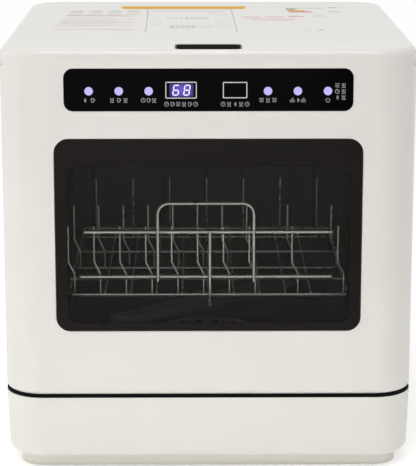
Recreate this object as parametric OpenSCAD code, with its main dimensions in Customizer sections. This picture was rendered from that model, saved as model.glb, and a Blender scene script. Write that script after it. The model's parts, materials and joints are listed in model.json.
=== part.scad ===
// Countertop dishwasher: drop-down front door with a window, pull-out wire rack, low base on a plinth.
// Origin: centre of the footprint on the table. +X right, +Y to the back, +Z up. Millimetres.

/* [Body] */
// Width of the machine
body_w = 420; // [410:1:460]
// Depth of the machine, door to back
body_d = 435; // [425:1:470]
// Height of the machine above the table
body_h = 437; // [430:1:470]
// Radius of the upright corners, seen from above
corner_r = 40; // [34:1:42]
// Rounding along the top edge
top_fillet = 8; // [5:0.5:11]
// Wall of the outer casings
skin_t = 2.5; // [2:0.1:3]
// Height of the skirt of the top cover
skirt_h = 16; // [14:0.5:18]

/* [Base] */
// Top of the base above the table
base_h = 78; // [72:0.5:84]
// Height of the plinth ring under the base
plinth_h = 12.5; // [9:0.5:15]
// How far the plinth ring stands in from the base
plinth_inset = 12; // [8:0.5:18]
// How much each side of the base leans in towards its foot
base_lean = 2; // [0.5:0.5:4]
// Rounding of the base's lower edge
base_round = 9; // [5:0.5:12]
// Thickness of the deck that closes the base
deck_t = 4; // [3:0.5:5]
// Radius of a rubber foot
foot_r = 11; // [9:0.5:13]
// How far a rubber foot stands below the plinth
foot_proud = 1; // [0.5:0.1:2]

/* [Door] */
// Gap between the base and the door
seam_gap = 3; // [3:0.1:4]
// Depth of the door's side walls
door_d = 45; // [43:0.5:50]
// Depth of the lip where the door wraps over the top
lip_d = 24; // [20:0.5:27]
// Rounding along the door's lower edge
door_edge_r = 5; // [5:0.5:7]
// Distance of the liner's rear face from the door's front
liner_back = 38; // [36:0.5:39]
// Thickness of the door liner
liner_t = 3; // [2.5:0.1:3.5]

/* [Window and panel] */
// Distance of the door glass from each side of the machine
window_side = 55.5; // [54:0.5:65]
// Height of the wall between the door glass and the control panel
window_gap = 28; // [25:0.5:40]
// Lower edge of the door glass above the door's lower edge
window_up = 68; // [64:1:72]
// Corner radius of the door glass
window_r = 15; // [8:1:20]
// Thickness of the door glass
glass_t = 4; // [3:0.1:5]
// Distance of the control panel from each side of the machine
panel_side = 66.5; // [60:0.5:75]
// Height of the control panel
panel_h = 42.5; // [38:0.5:46]
// Top edge of the control panel below the top of the machine
panel_drop = 18.5; // [16:0.5:20]
// Corner radius of the control panel
panel_r = 9; // [5:0.5:14]
// Radius of a touch key's light
key_r = 4.2; // [3:0.1:6]

/* [Grip] */
// Width of the grip slot in the top
grip_w = 67; // [60:1:90]
// Distance of the slot's front edge from the door's front
grip_front = 6.5; // [6:0.1:9]
// Distance of the slot's back edge from the door's front
grip_back = 46; // [43:0.5:48]
// Depth of the grip slot
grip_deep = 15.5; // [12:0.1:15.5]

/* [Hinge] */
// Distance of the hinge axis behind the door's front
hinge_back = 10; // [10:0.1:10.5]
// Height of the hinge axis above the door's lower edge
hinge_up = 10; // [10:0.1:10.5]
// Distance of each hinge arm from the machine's side
arm_in = 34; // [32:0.5:37]
// Thickness of a hinge arm
arm_t = 4; // [3:0.1:5]
// Half the height of a hinge arm
arm_half_h = 6; // [5:0.1:6.5]
// Radius of a hinge pin
hinge_pin_r = 3; // [2.5:0.05:3.5]
// Running clearance round a shaft
run_clear = 0.05; // [0.02:0.01:0.09]

/* [Tub] */
// How far the tub reaches past the door glass on each side
tub_over = 5.5; // [0:0.5:8]
// Height of the tub's floor above the table
tub_floor = 108; // [106:0.5:112]
// Height of the machine above the tub's roof
tub_drop = 107; // [102:1:116]
// Rounding of the tub's long edges
tub_r = 28; // [20:1:34]
// Wall of the tub
tub_t = 2; // [1.5:0.1:2.5]
// Space behind the tub
tub_rear_space = 45; // [40:1:55]

/* [Rack] */
// Space between the tub's side and the rack
rack_side = 13; // [12:0.5:20]
// Height of the rack's base wires above the tub floor
rack_up = 61; // [57:0.5:67]
// Radius of the thick front wires
rail_r = 2.2; // [1.9:0.1:2.4]
// Radius of the base frame's wire
frame_r = 1.7; // [1.5:0.1:2.1]
// Radius of a thin wire
tine_r = 1; // [0.9:0.05:1.3]
// Distance between two thin wires
tine_pitch = 27; // [24:0.1:27.5]
// Free space between the door liner and the rack
rack_gap = 16.8; // [16.5:0.1:19]
// Slide of the rack with the door fully open
rack_travel = 141.4; // [120:0.1:141.4]

/* [Washing] */
// Space between the tub's side and the spray arm's tip
arm_tip_gap = 22; // [15:1:50]
// Width of the spray arm at its tips
arm_tip_w = 17; // [14:0.5:22]
// Radius of the water pipe that carries the spray arm
feed_r = 9; // [7:0.1:10]
// Radius of the filter cup
cup_r = 28; // [22:0.5:32]
// Place of the sump in front of the middle
sump_fwd = 85; // [80:1:95]
// Radius of the fan wheel
fan_r = 34; // [28:0.5:36]

/* [Connections] */
// Outer radius of the drain spigot
drain_r = 8; // [7:0.1:9]
// Outer radius of the water inlet spigot
inlet_r = 13; // [10:0.1:14]
// Depth of the recess round the spigots
recess_d = 28; // [24:1:32]

/* [Hidden] */
$fn = 64;

shell_white = [0.91, 0.9, 0.87];
black_plastic = [0.06, 0.06, 0.06];
smoked_glass = [0.1, 0.1, 0.1, 0.6];
steel = [0.72, 0.72, 0.7];
tub_grey = [0.32, 0.32, 0.31];
rubber_black = [0.09, 0.09, 0.09];
wire_silver = [0.8, 0.8, 0.78];
board_green = [0.1, 0.35, 0.18];
hose_grey = [0.45, 0.45, 0.46];
key_lilac = [0.8, 0.76, 0.98];

tiny = 0.01;
cut_over = 1;
fit_gap = 0.3;
weld = 0.2;

front_y = -body_d / 2;
back_y = body_d / 2;

// Door and seams
door_z = base_h + seam_gap;
skirt_z = body_h - skirt_h;
lip_seam = 0.6;
ledge_z = skirt_z - 3;
side_seam = 2;
cabinet_front = front_y + door_d + side_seam;
axis_y = front_y + hinge_back;
axis_z = door_z + hinge_up;
liner_rear = front_y + liner_back;
liner_clear = 0.6;

// Window and control panel
glass_sunk = 0.4;
glass_gap = 0.3;
ledge_w = 6;
ledge_t = 2.3;
panel_w = body_w - 2 * panel_side;
panel_z = body_h - panel_drop - panel_h / 2;
panel_t = 3;
window_w = body_w - 2 * window_side;
window_h = panel_z - panel_h / 2 - window_gap - door_z - window_up;
window_z = door_z + window_up + window_h / 2;
liner_window_w = window_w - 9;
liner_window_h = window_h - 17;
liner_window_z = window_z - 21.5;
key_x = [
    for (from_left = [24.8, 54.6, 84.2]) from_left - panel_w / 2,
    for (from_right = [84.6, 55, 25.2]) panel_w / 2 - from_right
];
key_z = panel_z - 1.2;
key_t = 0.3;
board_y = front_y + 9;
board_half = panel_w / 2 - 13.5;
board_half_h = panel_h / 2 - 9.25;

// Rear opening and its sunk flange
rear_w = body_w - 2 * corner_r - 10;
rear_h = skirt_z - door_z - 40;
rear_r = 10;
rear_z = (skirt_z + door_z) / 2;
rear_t = 1.5;
rear_lap = 12;
rear_hole_r = 1.7;
flange_y = back_y - 4.5;

// Hinge
arm_x = body_w / 2 - arm_in;
arm_side_gap = 1;
arm_foot_len = 40;
arm_foot_w = 18;
arm_rise = 20;
cheek_t = 2.5;
bracket_reach = arm_t / 2 + arm_side_gap + cheek_t;
bracket_front = front_y + inside_of_corner(arm_x + bracket_reach) + fit_gap;
bracket_back = axis_y + 10;
bracket_low = door_z + skin_t + 1.5;
pin_fit = 0.02;

// Latch
latch_w = 12;
latch_z = body_h - tub_drop + 45;
sill_t = 2;

// Tub
tub_w = window_w + 2 * tub_over;
tub_h = body_h - tub_drop - tub_floor;
tub_y0 = cabinet_front + sill_t;
tub_y1 = back_y - tub_rear_space;
tub_z = tub_floor + tub_h / 2;
rib_xs = [23 - tub_w / 2, -51, 0, 44, tub_w / 2 - 29];
rib_r = 2;
rib_up = 60;
flange_low = axis_z + 9;
gasket_w = 6;
hub_back = 3;
hub_y = (tub_y0 + tub_y1) / 2 + hub_back;
arm_reach = tub_w / 2 - arm_tip_gap;
sump_y = -sump_fwd;
sump_r = cup_r + 8;
sump_low = 34;
feed_hole_r = feed_r + 1;
roof_z = tub_floor + tub_h + tub_t;
fan_x = 90;
fan_y = 60;
fan_h = 28;
lamp_r = 15;
lamp_y = cabinet_front + 45;

// Rack
rack_w = tub_w - 2 * rack_side;
handle_r = rail_r - 0.45;
handle_y = liner_rear + rack_gap + handle_r;
rail_y = handle_y + handle_r + rail_r - weld;
tine_y = rail_y + rail_r + tine_r - weld;
frame_y0 = tine_y + tine_r + frame_r - weld;
frame_y1 = tub_y1 - 14;
frame_z = tub_floor + rack_up;
cross_z = frame_z + frame_r + tine_r - weld;
frame_bend = 10;
runner_t = 3;
runner_y0 = cabinet_front + 12;
runner_y1 = tub_y1 - 20;
runner_top = frame_z - frame_r - fit_gap;
rack_bars = floor((rack_w - 30) / tine_pitch / 2);
tine_up = 74;
tine_top = frame_z + tine_up;
jog_up = 23.6;
jog_rise = 13.2;
jog_low = frame_z + jog_up;
jog_top = jog_low + jog_rise;
jog_x = 6.4;
tine_low = frame_z + 1.5;
tine_end = 1;
tine_last = 11.4;
tine_gap = 48;
tine_xs = [
    for (k = [0:floor((rack_w - 85) / tine_pitch)]) tine_end - rack_w / 2 + k * tine_pitch,
    rack_w / 2 - tine_last - tine_gap, rack_w / 2 - tine_last
];
row_z = cross_z + 2 * tine_r + 0.1 - weld;
middle_row_y = frame_y0 + 98;
rear_row_y = frame_y1 - 67.5;
rear_pitch = 43;
rear_bars = floor((rack_w / 2 - 10) / rear_pitch);
stay_in = 50;
guard_in = 18.5;
guard_half = rack_w / 2 - guard_in;
guard_low_more = 4.4;
guard_mid_up = 69.4;
guard_mid = frame_z + guard_mid_up;
guard_low_up = 21.3;
guard_low = frame_z + guard_low_up;
handle_half = 50;
handle_x = -2.4;
stem_x = 1.9;
handle_up = 100.6;
handle_top = frame_z + handle_up;
handle_foot = 4;
handle_low = guard_low - handle_foot;
handle_bend = 12;
stem_foot = 9;
stem_low = frame_z - stem_foot;

// Base interior
base_wall = 3;
base_floor = plinth_h + base_wall;
pump_z = 46;
recess_side = 30;
recess_h = 46;
recess_back = back_y - recess_d;
drain_pump_x = cup_r + 10;
drain_pump_r = 17;
drain_pump_t = 20;
drain_x = drain_pump_x + 36;
drain_len = 22;
wash_pump_r = 22;
wash_pump_half = 12;
wash_motor_len = 64;
valve_len = 30;
inlet_in = 84;
inlet_x = body_w / 2 - inlet_in;
inlet_len = 16;
power_in = 80;
power_x = power_in - body_w / 2;
power_half_w = 24;
power_half_h = 15;
hose_r = 9;
riser_in = 26;
riser_x = body_w / 2 - riser_in;
riser_back = 67.5;
riser_y = back_y - riser_back;
hose_bend = 20;
break_up = 22;
break_h = 178;
break_d = 130;
break_back = 47.5;
break_wall = 2;
circuit_w = 100;
circuit_d = 90;
circuit_in = 40;
circuit_y = 20;
circuit_up = 10;
circuit_t = 1.6;

// How far behind the front the casing's inner face lies, at a distance x from the middle
function inside_of_corner(x) =
    let (past = max(0, x - body_w / 2 + corner_r))
    corner_r - sqrt(pow(corner_r - skin_t, 2) - past * past);

// ---- Shared shapes ----

// Quarter of a disc in the first quadrant
module quarter_disc(r) {
    intersection() {
        circle(r);
        square(r);
    }
}

// Rectangle with rounded corners, centred
module round_rect(w, h, r) {
    square([w - 2 * r, h], center = true);
    for (side = [-1, 1])
        translate([side * (w - r) / 2, 0])
            square([r, h - 2 * r], center = true);
    for (sx = [0, 1], sy = [0, 1])
        mirror([sx, 0]) mirror([0, sy])
            translate([w / 2 - r, h / 2 - r])
                quarter_disc(r);
}

// Plate that stands upright across the machine, from y0 to y1, centred on height z
module upright_plate(w, h, r, y0, y1, z) {
    translate([0, y1, z])
        rotate([90, 0, 0])
            linear_extrude(y1 - y0)
                round_rect(w, h, r);
}

// Outline of one side of a casing: x from the corner's centre outwards, y is height
module edge_outline(r, z0, z1, top_f, low_f, lean) {
    polygon([[0, z0 + low_f], [r - lean, z0 + low_f], [r, z1 - top_f], [0, z1 - top_f]]);
    if (top_f > 0) {
        translate([0, z1 - top_f]) square([r - top_f, top_f]);
        translate([r - top_f, z1 - top_f]) quarter_disc(top_f);
    }
    if (low_f > 0) {
        translate([0, z0]) square([r - lean - low_f, low_f]);
        translate([r - lean - low_f, z0 + low_f]) mirror([0, 1]) quarter_disc(low_f);
    }
}

// Carries the outline given as its child all round a rounded rectangle
module round_sweep(w, d, r) {
    for (corner = [0:3])
        translate([(corner == 0 || corner == 3 ? 1 : -1) * (w / 2 - r),
                   (corner < 2 ? 1 : -1) * (d / 2 - r), 0])
            rotate(corner * 90)
                rotate_extrude(angle = 90) children();
    for (side = [0:3])
        rotate(side * 90)
            translate([(side % 2 == 0 ? w : d) / 2 - r, 0, 0])
                rotate([90, 0, 0])
                    linear_extrude((side % 2 == 0 ? d : w) - 2 * r, center = true) children();
}

// Solid casing form with upright corners r and rounded top and lower edges
module casing(inset, z0, z1, top_f, low_f, lean = 0) {
    w = body_w - 2 * inset;
    d = body_d - 2 * inset;
    r = corner_r - inset;
    round_sweep(w, d, r) edge_outline(r, z0, z1, top_f, low_f, lean);
    translate([-w / 2 + r, -d / 2 + r, z0]) cube([w - 2 * r, d - 2 * r, z1 - z0]);
}

// Everything in the machine's width from y0 to y1 and from z0 to z1
module slab(y0, y1, z0, z1) {
    translate([-body_w, y0, z0]) cube([2 * body_w, y1 - y0, z1 - z0]);
}

// Box given by its lowest corner and its highest one
module span(a, b) {
    translate(a) cube([b[0] - a[0], b[1] - a[1], b[2] - a[2]]);
}

// Straight wire or shaft along X, Y or Z
module rod_x(r, x0, x1, y, z) {
    translate([x0, y, z]) rotate([0, 90, 0]) cylinder(r = r, h = x1 - x0);
}

module rod_y(r, x, y0, y1, z) {
    translate([x, y1, z]) rotate([90, 0, 0]) cylinder(r = r, h = y1 - y0);
}

module rod_z(r, x, y, z0, z1) {
    translate([x, y, z0]) cylinder(r = r, h = z1 - z0);
}

// Grip slot, seen from above, smaller by inset
module grip_outline(inset) {
    translate([0, front_y + (grip_front + grip_back) / 2])
        round_rect(grip_w - 2 * inset, grip_back - grip_front - 2 * inset, 6 - inset);
}

// ---- Base ----

module base_housing() {
    color(shell_white)
    difference() {
        union() {
            difference() {
                casing(0, plinth_h, base_h, 0, base_round, base_lean);
                casing(base_wall, base_floor, base_h + cut_over, 0, base_round - base_wall, base_lean);
            }
            span([drain_x - recess_side - base_wall, recess_back - base_wall, plinth_h + 1],
                 [inlet_x + recess_side + base_wall, back_y - 4, pump_z + recess_h / 2 + base_wall]);
        }
        span([drain_x - recess_side, recess_back, pump_z - recess_h / 2],
             [inlet_x + recess_side, back_y + cut_over, pump_z + recess_h / 2]);
        for (spigot = [[drain_r, drain_x], [inlet_r, inlet_x]])
            rod_y(spigot[0] - 1 + fit_gap, spigot[1], recess_back - 2 * base_wall,
                  recess_back + cut_over, pump_z);
        span([power_x - power_half_w - fit_gap, back_y - 12, pump_z - power_half_h - fit_gap],
             [power_x + power_half_w + fit_gap, back_y + cut_over, pump_z + power_half_h + fit_gap]);
    }
}

module plinth_ring() {
    ring_in = base_lean + plinth_inset;
    color(shell_white)
    difference() {
        casing(ring_in, foot_proud, plinth_h, 0, 0);
        casing(ring_in + base_wall, foot_proud - cut_over, plinth_h + cut_over, 0, 0);
    }
}

module rubber_feet() {
    foot_in = base_lean + plinth_inset + base_wall + foot_r + 8;
    color(rubber_black)
    for (sx = [-1, 1], sy = [-1, 1])
        rod_z(foot_r, sx * (body_w / 2 - foot_in), sy * (body_d / 2 - foot_in), 0, plinth_h);
}

module base_deck() {
    color(black_plastic)
    difference() {
        casing(base_wall + 0.5, base_h - deck_t, base_h, 0, 0);
        rod_z(sump_r + 2, 0, sump_y, base_h - 2 * deck_t, base_h + cut_over);
        rod_z(feed_hole_r + 1, 0, hub_y, base_h - 2 * deck_t, base_h + cut_over);
        rod_z(hose_r + 1, riser_x, riser_y, base_h - 2 * deck_t, base_h + cut_over);
    }
}

// Dark strip along the top edge of the base: low under the door, full height under the cabinet
module seam_strip() {
    strip_in = 0.5;
    strip_w = 3;
    low_h = 2.3;
    color(rubber_black)
    difference() {
        union() {
            casing(strip_in, base_h, base_h + low_h, 0, 0);
            intersection() {
                casing(strip_in, base_h, door_z, 0, 0);
                slab(cabinet_front, back_y, base_h, door_z);
            }
        }
        casing(strip_in + strip_w, base_h - cut_over, door_z + cut_over, 0, 0);
    }
}

// Black cover that closes the front between the deck and the tub
module front_sill() {
    half_w = body_w / 2 - skin_t - 1.5;
    color(black_plastic)
    difference() {
        span([-half_w, cabinet_front, base_h], [half_w, tub_y0, flange_low - fit_gap]);
        for (side = [-1, 1])
            span([side * arm_x - arm_t / 2 - 1, cabinet_front - cut_over, axis_z - arm_half_h - 1],
                 [side * arm_x + arm_t / 2 + 1, tub_y0 + cut_over, flange_low + cut_over]);
    }
}

// ---- Cabinet ----

module cabinet_shell() {
    color(shell_white)
    difference() {
        intersection() {
            casing(0, door_z, skirt_z, 0, 0);
            slab(cabinet_front, back_y, door_z, skirt_z);
        }
        casing(skin_t, door_z - cut_over, skirt_z + cut_over, 0, 0);
        upright_plate(rear_w, rear_h, rear_r, back_y - 2 * skin_t, back_y + cut_over, rear_z);
    }
    // Sunk flange that the rear panel lies on
    color(shell_white)
    difference() {
        upright_plate(rear_w + 2 * skin_t, rear_h + 2 * skin_t, rear_r + skin_t, flange_y - skin_t,
                      back_y - skin_t + tiny, rear_z);
        upright_plate(rear_w, rear_h, rear_r, flange_y, back_y, rear_z);
        upright_plate(rear_w - 2 * rear_lap, rear_h - 2 * rear_lap, 4, flange_y - 2 * skin_t, back_y,
                      rear_z);
    }
}

// Sheet-steel panel with vent slots near the fan
module rear_panel() {
    slot_w = 3;
    slot_pitch = 7;
    slot_len = 90;
    slot_z = rear_z + 65;
    color(steel)
    difference() {
        upright_plate(rear_w - 2 * fit_gap, rear_h - 2 * fit_gap, rear_r - fit_gap, flange_y,
                      flange_y + rear_t, rear_z);
        for (row = [0:11])
            span([fan_x - slot_len / 2, flange_y - cut_over, slot_z + row * slot_pitch],
                 [fan_x + slot_len / 2, back_y, slot_z + slot_w + row * slot_pitch]);
        for (place = rear_screw_places())
            rod_y(rear_hole_r, place[0], flange_y - cut_over, back_y, place[1]);
    }
}

function rear_screw_places() = [
    for (sx = [-1, 0, 1], sz = [-1, 1])
        [sx * (rear_w - rear_lap) / 2, rear_z + sz * (rear_h - rear_lap) / 2],
    for (sx = [-1, 1])
        [sx * (rear_w - rear_lap) / 2, rear_z]
];

// Pan-head screws, heads on the panel and shanks down to the flange
module rear_screws() {
    head_h = 1.8;
    color(steel)
    for (place = rear_screw_places()) {
        rod_y(rear_hole_r - 0.05, place[0], flange_y, flange_y + rear_t + tiny, place[1]);
        rod_y(3.2, place[0], flange_y + rear_t, flange_y + rear_t + head_h, place[1]);
    }
}

module top_cover() {
    cover_front = front_y + lip_d + lip_seam;
    color(shell_white)
    difference() {
        intersection() {
            casing(0, skirt_z, body_h, top_fillet, 0);
            slab(cover_front, back_y, skirt_z, body_h);
        }
        intersection() {
            casing(skin_t, skirt_z - cut_over, body_h - skin_t, top_fillet - skin_t, 0);
            slab(cover_front + skin_t, back_y, skirt_z - cut_over, body_h);
        }
        translate([0, 0, skirt_z - cut_over]) linear_extrude(2 * skirt_h) grip_outline(0);
    }
}

// Rear half of the grip: a black cup let into the top cover
module grip_pocket() {
    color(black_plastic)
    intersection() {
        grip_cup();
        slab(front_y + lip_d + lip_seam, back_y, 0, body_h);
    }
}

// Front half of the grip: the matching cup in the door's lip
module door_grip() {
    color(black_plastic)
    intersection() {
        grip_cup();
        slab(front_y, front_y + lip_d, 0, body_h);
    }
}

module grip_cup() {
    cup_t = 1.5;
    side_gap = 0.1;
    cup_top = body_h - 0.6;
    difference() {
        translate([0, 0, body_h - grip_deep]) linear_extrude(cup_top - body_h + grip_deep)
            grip_outline(side_gap);
        translate([0, 0, body_h - grip_deep + cup_t]) linear_extrude(grip_deep)
            grip_outline(side_gap + cup_t);
    }
}

// ---- Tub ----

module tub() {
    flange_half_w = body_w / 2 - skin_t - 0.5;
    flange_top = skirt_z - 4;
    color(tub_grey)
    difference() {
        union() {
            upright_plate(tub_w + 2 * tub_t, tub_h + 2 * tub_t, tub_r + tub_t, tub_y0 - 1,
                          tub_y1 + tub_t, tub_z);
            span([-flange_half_w, cabinet_front, flange_low], [flange_half_w, tub_y0, flange_top]);
        }
        upright_plate(tub_w, tub_h, tub_r, cabinet_front - cut_over, tub_y1, tub_z);
        rod_z(cup_r + 4, 0, sump_y, tub_floor - 2 * tub_t, tub_floor + cut_over);
        rod_z(feed_hole_r, 0, hub_y, tub_floor - 2 * tub_t, tub_floor + cut_over);
        fan_slots(roof_z - 2 * tub_t, roof_z + 1);
        span([-latch_w / 2 - 2, cabinet_front - cut_over, latch_z - 4],
             [latch_w / 2 + 2, tub_y0 + cut_over, latch_z + 9]);
    }
    // Pressed ribs on the back wall
    color(tub_grey)
    for (x = rib_xs)
        rod_z(rib_r, x, tub_y1, tub_floor + rib_up, tub_floor + tub_h - 4);
}

module tub_gasket() {
    gasket_out = tub_w + 2 * (gasket_w + 1);
    color(rubber_black)
    difference() {
        upright_plate(gasket_out, tub_h + 2 * (gasket_w + 1), tub_r + gasket_w + 1, liner_rear + fit_gap,
                      cabinet_front, tub_z);
        upright_plate(tub_w + 2, tub_h + 2, tub_r + 1, liner_rear - cut_over, cabinet_front + cut_over,
                      tub_z);
    }
}

module rack_runner(side) {
    lip_h = 5;
    stay_h = 14;
    stay_in = 8;
    stay_t = 4;
    stays = 5;
    stay_pitch = (runner_y1 - runner_y0 - 2 * stay_in - stay_t) / (stays - 1);
    x0 = rack_w / 2 - 6;
    x1 = tub_w / 2;
    color(black_plastic)
    mirror([side < 0 ? 1 : 0, 0, 0]) {
        span([x0, runner_y0, runner_top - runner_t], [x1, runner_y1, runner_top]);
        span([x1 - 3, runner_y0, runner_top - runner_t], [x1, runner_y1, runner_top + lip_h]);
        for (k = [0:stays - 1])
            let (y = runner_y0 + stay_in + k * stay_pitch)
            span([x0 + 3, y, runner_top - stay_h], [x1, y + stay_t, runner_top - runner_t + tiny]);
    }
}

module rack_runner_left() { rack_runner(-1); }
module rack_runner_right() { rack_runner(1); }

module interior_lamp() {
    color("white")
    translate([0, lamp_y, roof_z - tub_t - 3]) cylinder(r1 = lamp_r - 2, r2 = lamp_r, h = 3);
}

module sump() {
    color(black_plastic)
    difference() {
        union() {
            rod_z(sump_r, 0, sump_y, tub_floor - tub_t - 8, tub_floor - tub_t);
            rod_z(cup_r + 6, 0, sump_y, sump_low, tub_floor - tub_t);
            rod_y(hose_r - 1, 0, sump_y + cup_r + 5, sump_y + cup_r + 18, pump_z);
            rod_x(hose_r - 2, cup_r + 5, cup_r + 10, sump_y, pump_z);
        }
        rod_z(cup_r + 4, 0, sump_y, sump_low + 2, tub_floor);
        rod_y(hose_r - 3, 0, sump_y, sump_y + cup_r + 19, pump_z);
        rod_x(hose_r - 4, 0, cup_r + 11, sump_y, pump_z);
    }
}

module flat_filter() {
    plate_r = cup_r + 32;
    plate_t = 1.2;
    slots = 16;
    slot_half_w = 3;
    color(steel)
    difference() {
        rod_z(plate_r, 0, sump_y, tub_floor, tub_floor + plate_t);
        rod_z(cup_r + 1.5, 0, sump_y, tub_floor - cut_over, tub_floor + 2 * plate_t);
        rod_z(feed_r + 10, 0, hub_y, tub_floor - cut_over, tub_floor + 2 * plate_t);
        for (k = [0:slots - 1])
            rotate_about(0, sump_y, (k + 0.5) * 360 / slots)
                span([cup_r + 7, sump_y - slot_half_w, tub_floor - cut_over],
                     [plate_r - 6, sump_y + slot_half_w, tub_floor + 2 * plate_t]);
    }
}

// Turns its child about an upright axis at x, y
module rotate_about(x, y, angle) {
    translate([x, y, 0]) rotate(angle) translate([-x, -y, 0]) children();
}

module filter_cup() {
    top = tub_floor + 2;
    low = sump_low + 12;
    slots = 8;
    slot_half_w = 6;
    color(steel)
    difference() {
        union() {
            rod_z(cup_r, 0, sump_y, low, top);
            rod_z(cup_r + 3, 0, sump_y, tub_floor + 1.5, top + 0.4);
        }
        rod_z(cup_r - 2, 0, sump_y, low + 2, top + cut_over);
        for (k = [0:slots - 1])
            rotate_about(0, sump_y, (k + 0.5) * 360 / slots)
                span([0, sump_y - slot_half_w, low + 8], [cup_r + 1, sump_y + slot_half_w, top - 22]);
    }
    color(black_plastic)
    span([-cup_r + 1, sump_y - 1.5, top - 10], [cup_r - 1, sump_y + 1.5, top + 3]);
}

module spray_feed() {
    color(black_plastic)
    difference() {
        union() {
            rod_z(feed_r, 0, hub_y, pump_z + wash_pump_r + 2, tub_floor + 10);
            rod_z(feed_r + 6, 0, hub_y, tub_floor, tub_floor + 3);
        }
        rod_z(feed_r - 2, 0, hub_y, pump_z, tub_floor + 12);
    }
}

// Two-ended spray arm with a hub that turns on the feed pipe
module spray_arm() {
    arm_z = tub_floor + 8;
    arm_h = 9;
    rest_angle = 40.2;
    color(hose_grey)
    rotate_about(0, hub_y, rest_angle)
    difference() {
        union() {
            rod_z(feed_r + 8, 0, hub_y, arm_z - 4, arm_z + arm_h + 3);
            for (end = [0, 180])
                rotate_about(0, hub_y, end)
                    translate([0, hub_y, arm_z])
                        linear_extrude(arm_h) {
                            polygon([[0, -15], [arm_reach - arm_tip_w / 2, -arm_tip_w / 2],
                                     [arm_reach - arm_tip_w / 2, arm_tip_w / 2], [0, 15]]);
                            translate([arm_reach - arm_tip_w / 2, 0]) circle(arm_tip_w / 2 + 0.2);
                        }
        }
        rod_z(feed_r + run_clear, 0, hub_y, arm_z - 5, tub_floor + 10 + 1);
        for (end = [0, 180], k = [0:4])
            rotate_about(0, hub_y, end)
                span([40 + k * 20, hub_y - 1 + 3 * (k % 2), arm_z + arm_h - 1.5],
                     [46 + k * 20, hub_y + 1 + 3 * (k % 2), arm_z + arm_h + 1]);
    }
}

module felt_pads() {
    pad_t = 4;
    color("dimgray")
    for (side = [-1, 1])
        translate([side * (tub_w / 2 + tub_t + pad_t / 2), (tub_y0 + tub_y1) / 2, tub_z])
            cube([pad_t, tub_y1 - tub_y0 - 40, tub_h - 2 * tub_r - 6], center = true);
}

// ---- Water and air ----

module wash_pump() {
    motor_y = hub_y + wash_pump_half - 1;
    color(black_plastic) {
        rod_y(wash_pump_r, 0, hub_y - wash_pump_half, hub_y + wash_pump_half, pump_z);
        rod_z(feed_r, 0, hub_y, pump_z + wash_pump_r - 4, pump_z + wash_pump_r + 2);
        rod_y(hose_r - 1, 0, hub_y - wash_pump_half - 8, hub_y - wash_pump_half + 1, pump_z);
    }
    color(steel) rod_y(wash_pump_r - 3, 0, motor_y, motor_y + wash_motor_len, pump_z);
    color(black_plastic)
    for (y = [motor_y + 9, motor_y + wash_motor_len - 15])
        span([-12, y, base_floor], [12, y + 8, pump_z - wash_pump_r + 10]);
}

module sump_hose() {
    color(rubber_black)
    difference() {
        rod_y(hose_r + 1, 0, sump_y + cup_r + 8, hub_y - wash_pump_half, pump_z);
        rod_y(hose_r - 0.9, 0, sump_y + cup_r + 7, hub_y - wash_pump_half + 1, pump_z);
    }
}

module drain_pump() {
    x0 = drain_x - drain_pump_t / 2;
    x1 = drain_x + drain_pump_t / 2;
    color(black_plastic) {
        rod_x(hose_r - 2, drain_pump_x, x0 + 2, sump_y, pump_z);
        rod_x(drain_pump_r, x0, x1, sump_y, pump_z);
        span([x0 + 2, sump_y - 8, base_floor], [x0 + 10, sump_y + 8, pump_z - 8]);
        rod_y(hose_r - 2, drain_x, sump_y + 10, sump_y + 22, pump_z);
    }
    color(steel) rod_x(drain_pump_r - 3, x1 - 1, x1 + 32, sump_y, pump_z);
}

module drain_hose() {
    color(hose_grey)
    rod_y(hose_r, drain_x, sump_y + 22, recess_back - base_wall - 12, pump_z);
}

module drain_spigot() {
    color(black_plastic)
    difference() {
        union() {
            rod_y(drain_r - 1, drain_x, recess_back - base_wall - 12, recess_back + 1, pump_z);
            rod_y(drain_r, drain_x, recess_back, recess_back + drain_len, pump_z);
        }
        rod_y(drain_r - 2.5, drain_x, recess_back - base_wall - 13, recess_back + drain_len + 1, pump_z);
    }
}

module inlet_spigot() {
    color(black_plastic)
    difference() {
        union() {
            rod_y(inlet_r - 1, inlet_x, recess_back - base_wall - 4, recess_back + 1, pump_z);
            rod_y(inlet_r, inlet_x, recess_back, recess_back + inlet_len, pump_z);
        }
        rod_y(inlet_r - 4, inlet_x, recess_back - base_wall - 5, recess_back + inlet_len + 1, pump_z);
    }
}

module inlet_valve() {
    y1 = recess_back - base_wall - 4;
    color(black_plastic) {
        rod_y(12, inlet_x, y1 - 20, y1, pump_z);
        rod_x(7, inlet_x + 8, inlet_x + 22, riser_y, pump_z);
    }
    color(steel)
    span([inlet_x - 12, y1 - 20 - valve_len, pump_z - 12], [inlet_x + 10, y1 - 19, pump_z + 14]);
}

module inlet_hose() {
    x0 = inlet_x + 22;
    color(hose_grey) {
        rod_x(hose_r - 2, x0, riser_x - hose_bend, riser_y, pump_z);
        translate([riser_x - hose_bend, riser_y, pump_z + hose_bend])
            rotate([90, 0, 0]) mirror([0, 1, 0])
                rotate_extrude(angle = 90) translate([hose_bend, 0]) circle(hose_r - 2);
        rod_z(hose_r - 2, riser_x, riser_y, pump_z + hose_bend, base_h + break_up);
    }
}

module air_break() {
    low = [tub_w / 2 + tub_t + 7, back_y - break_back - break_d, base_h + break_up];
    high = [body_w / 2 - skin_t - 3, back_y - break_back, base_h + break_up + break_h];
    wall = break_wall * [1, 1, 1];
    color([0.75, 0.78, 0.8])
    difference() {
        span(low, high);
        span(low + wall, high - wall);
    }
}

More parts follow.
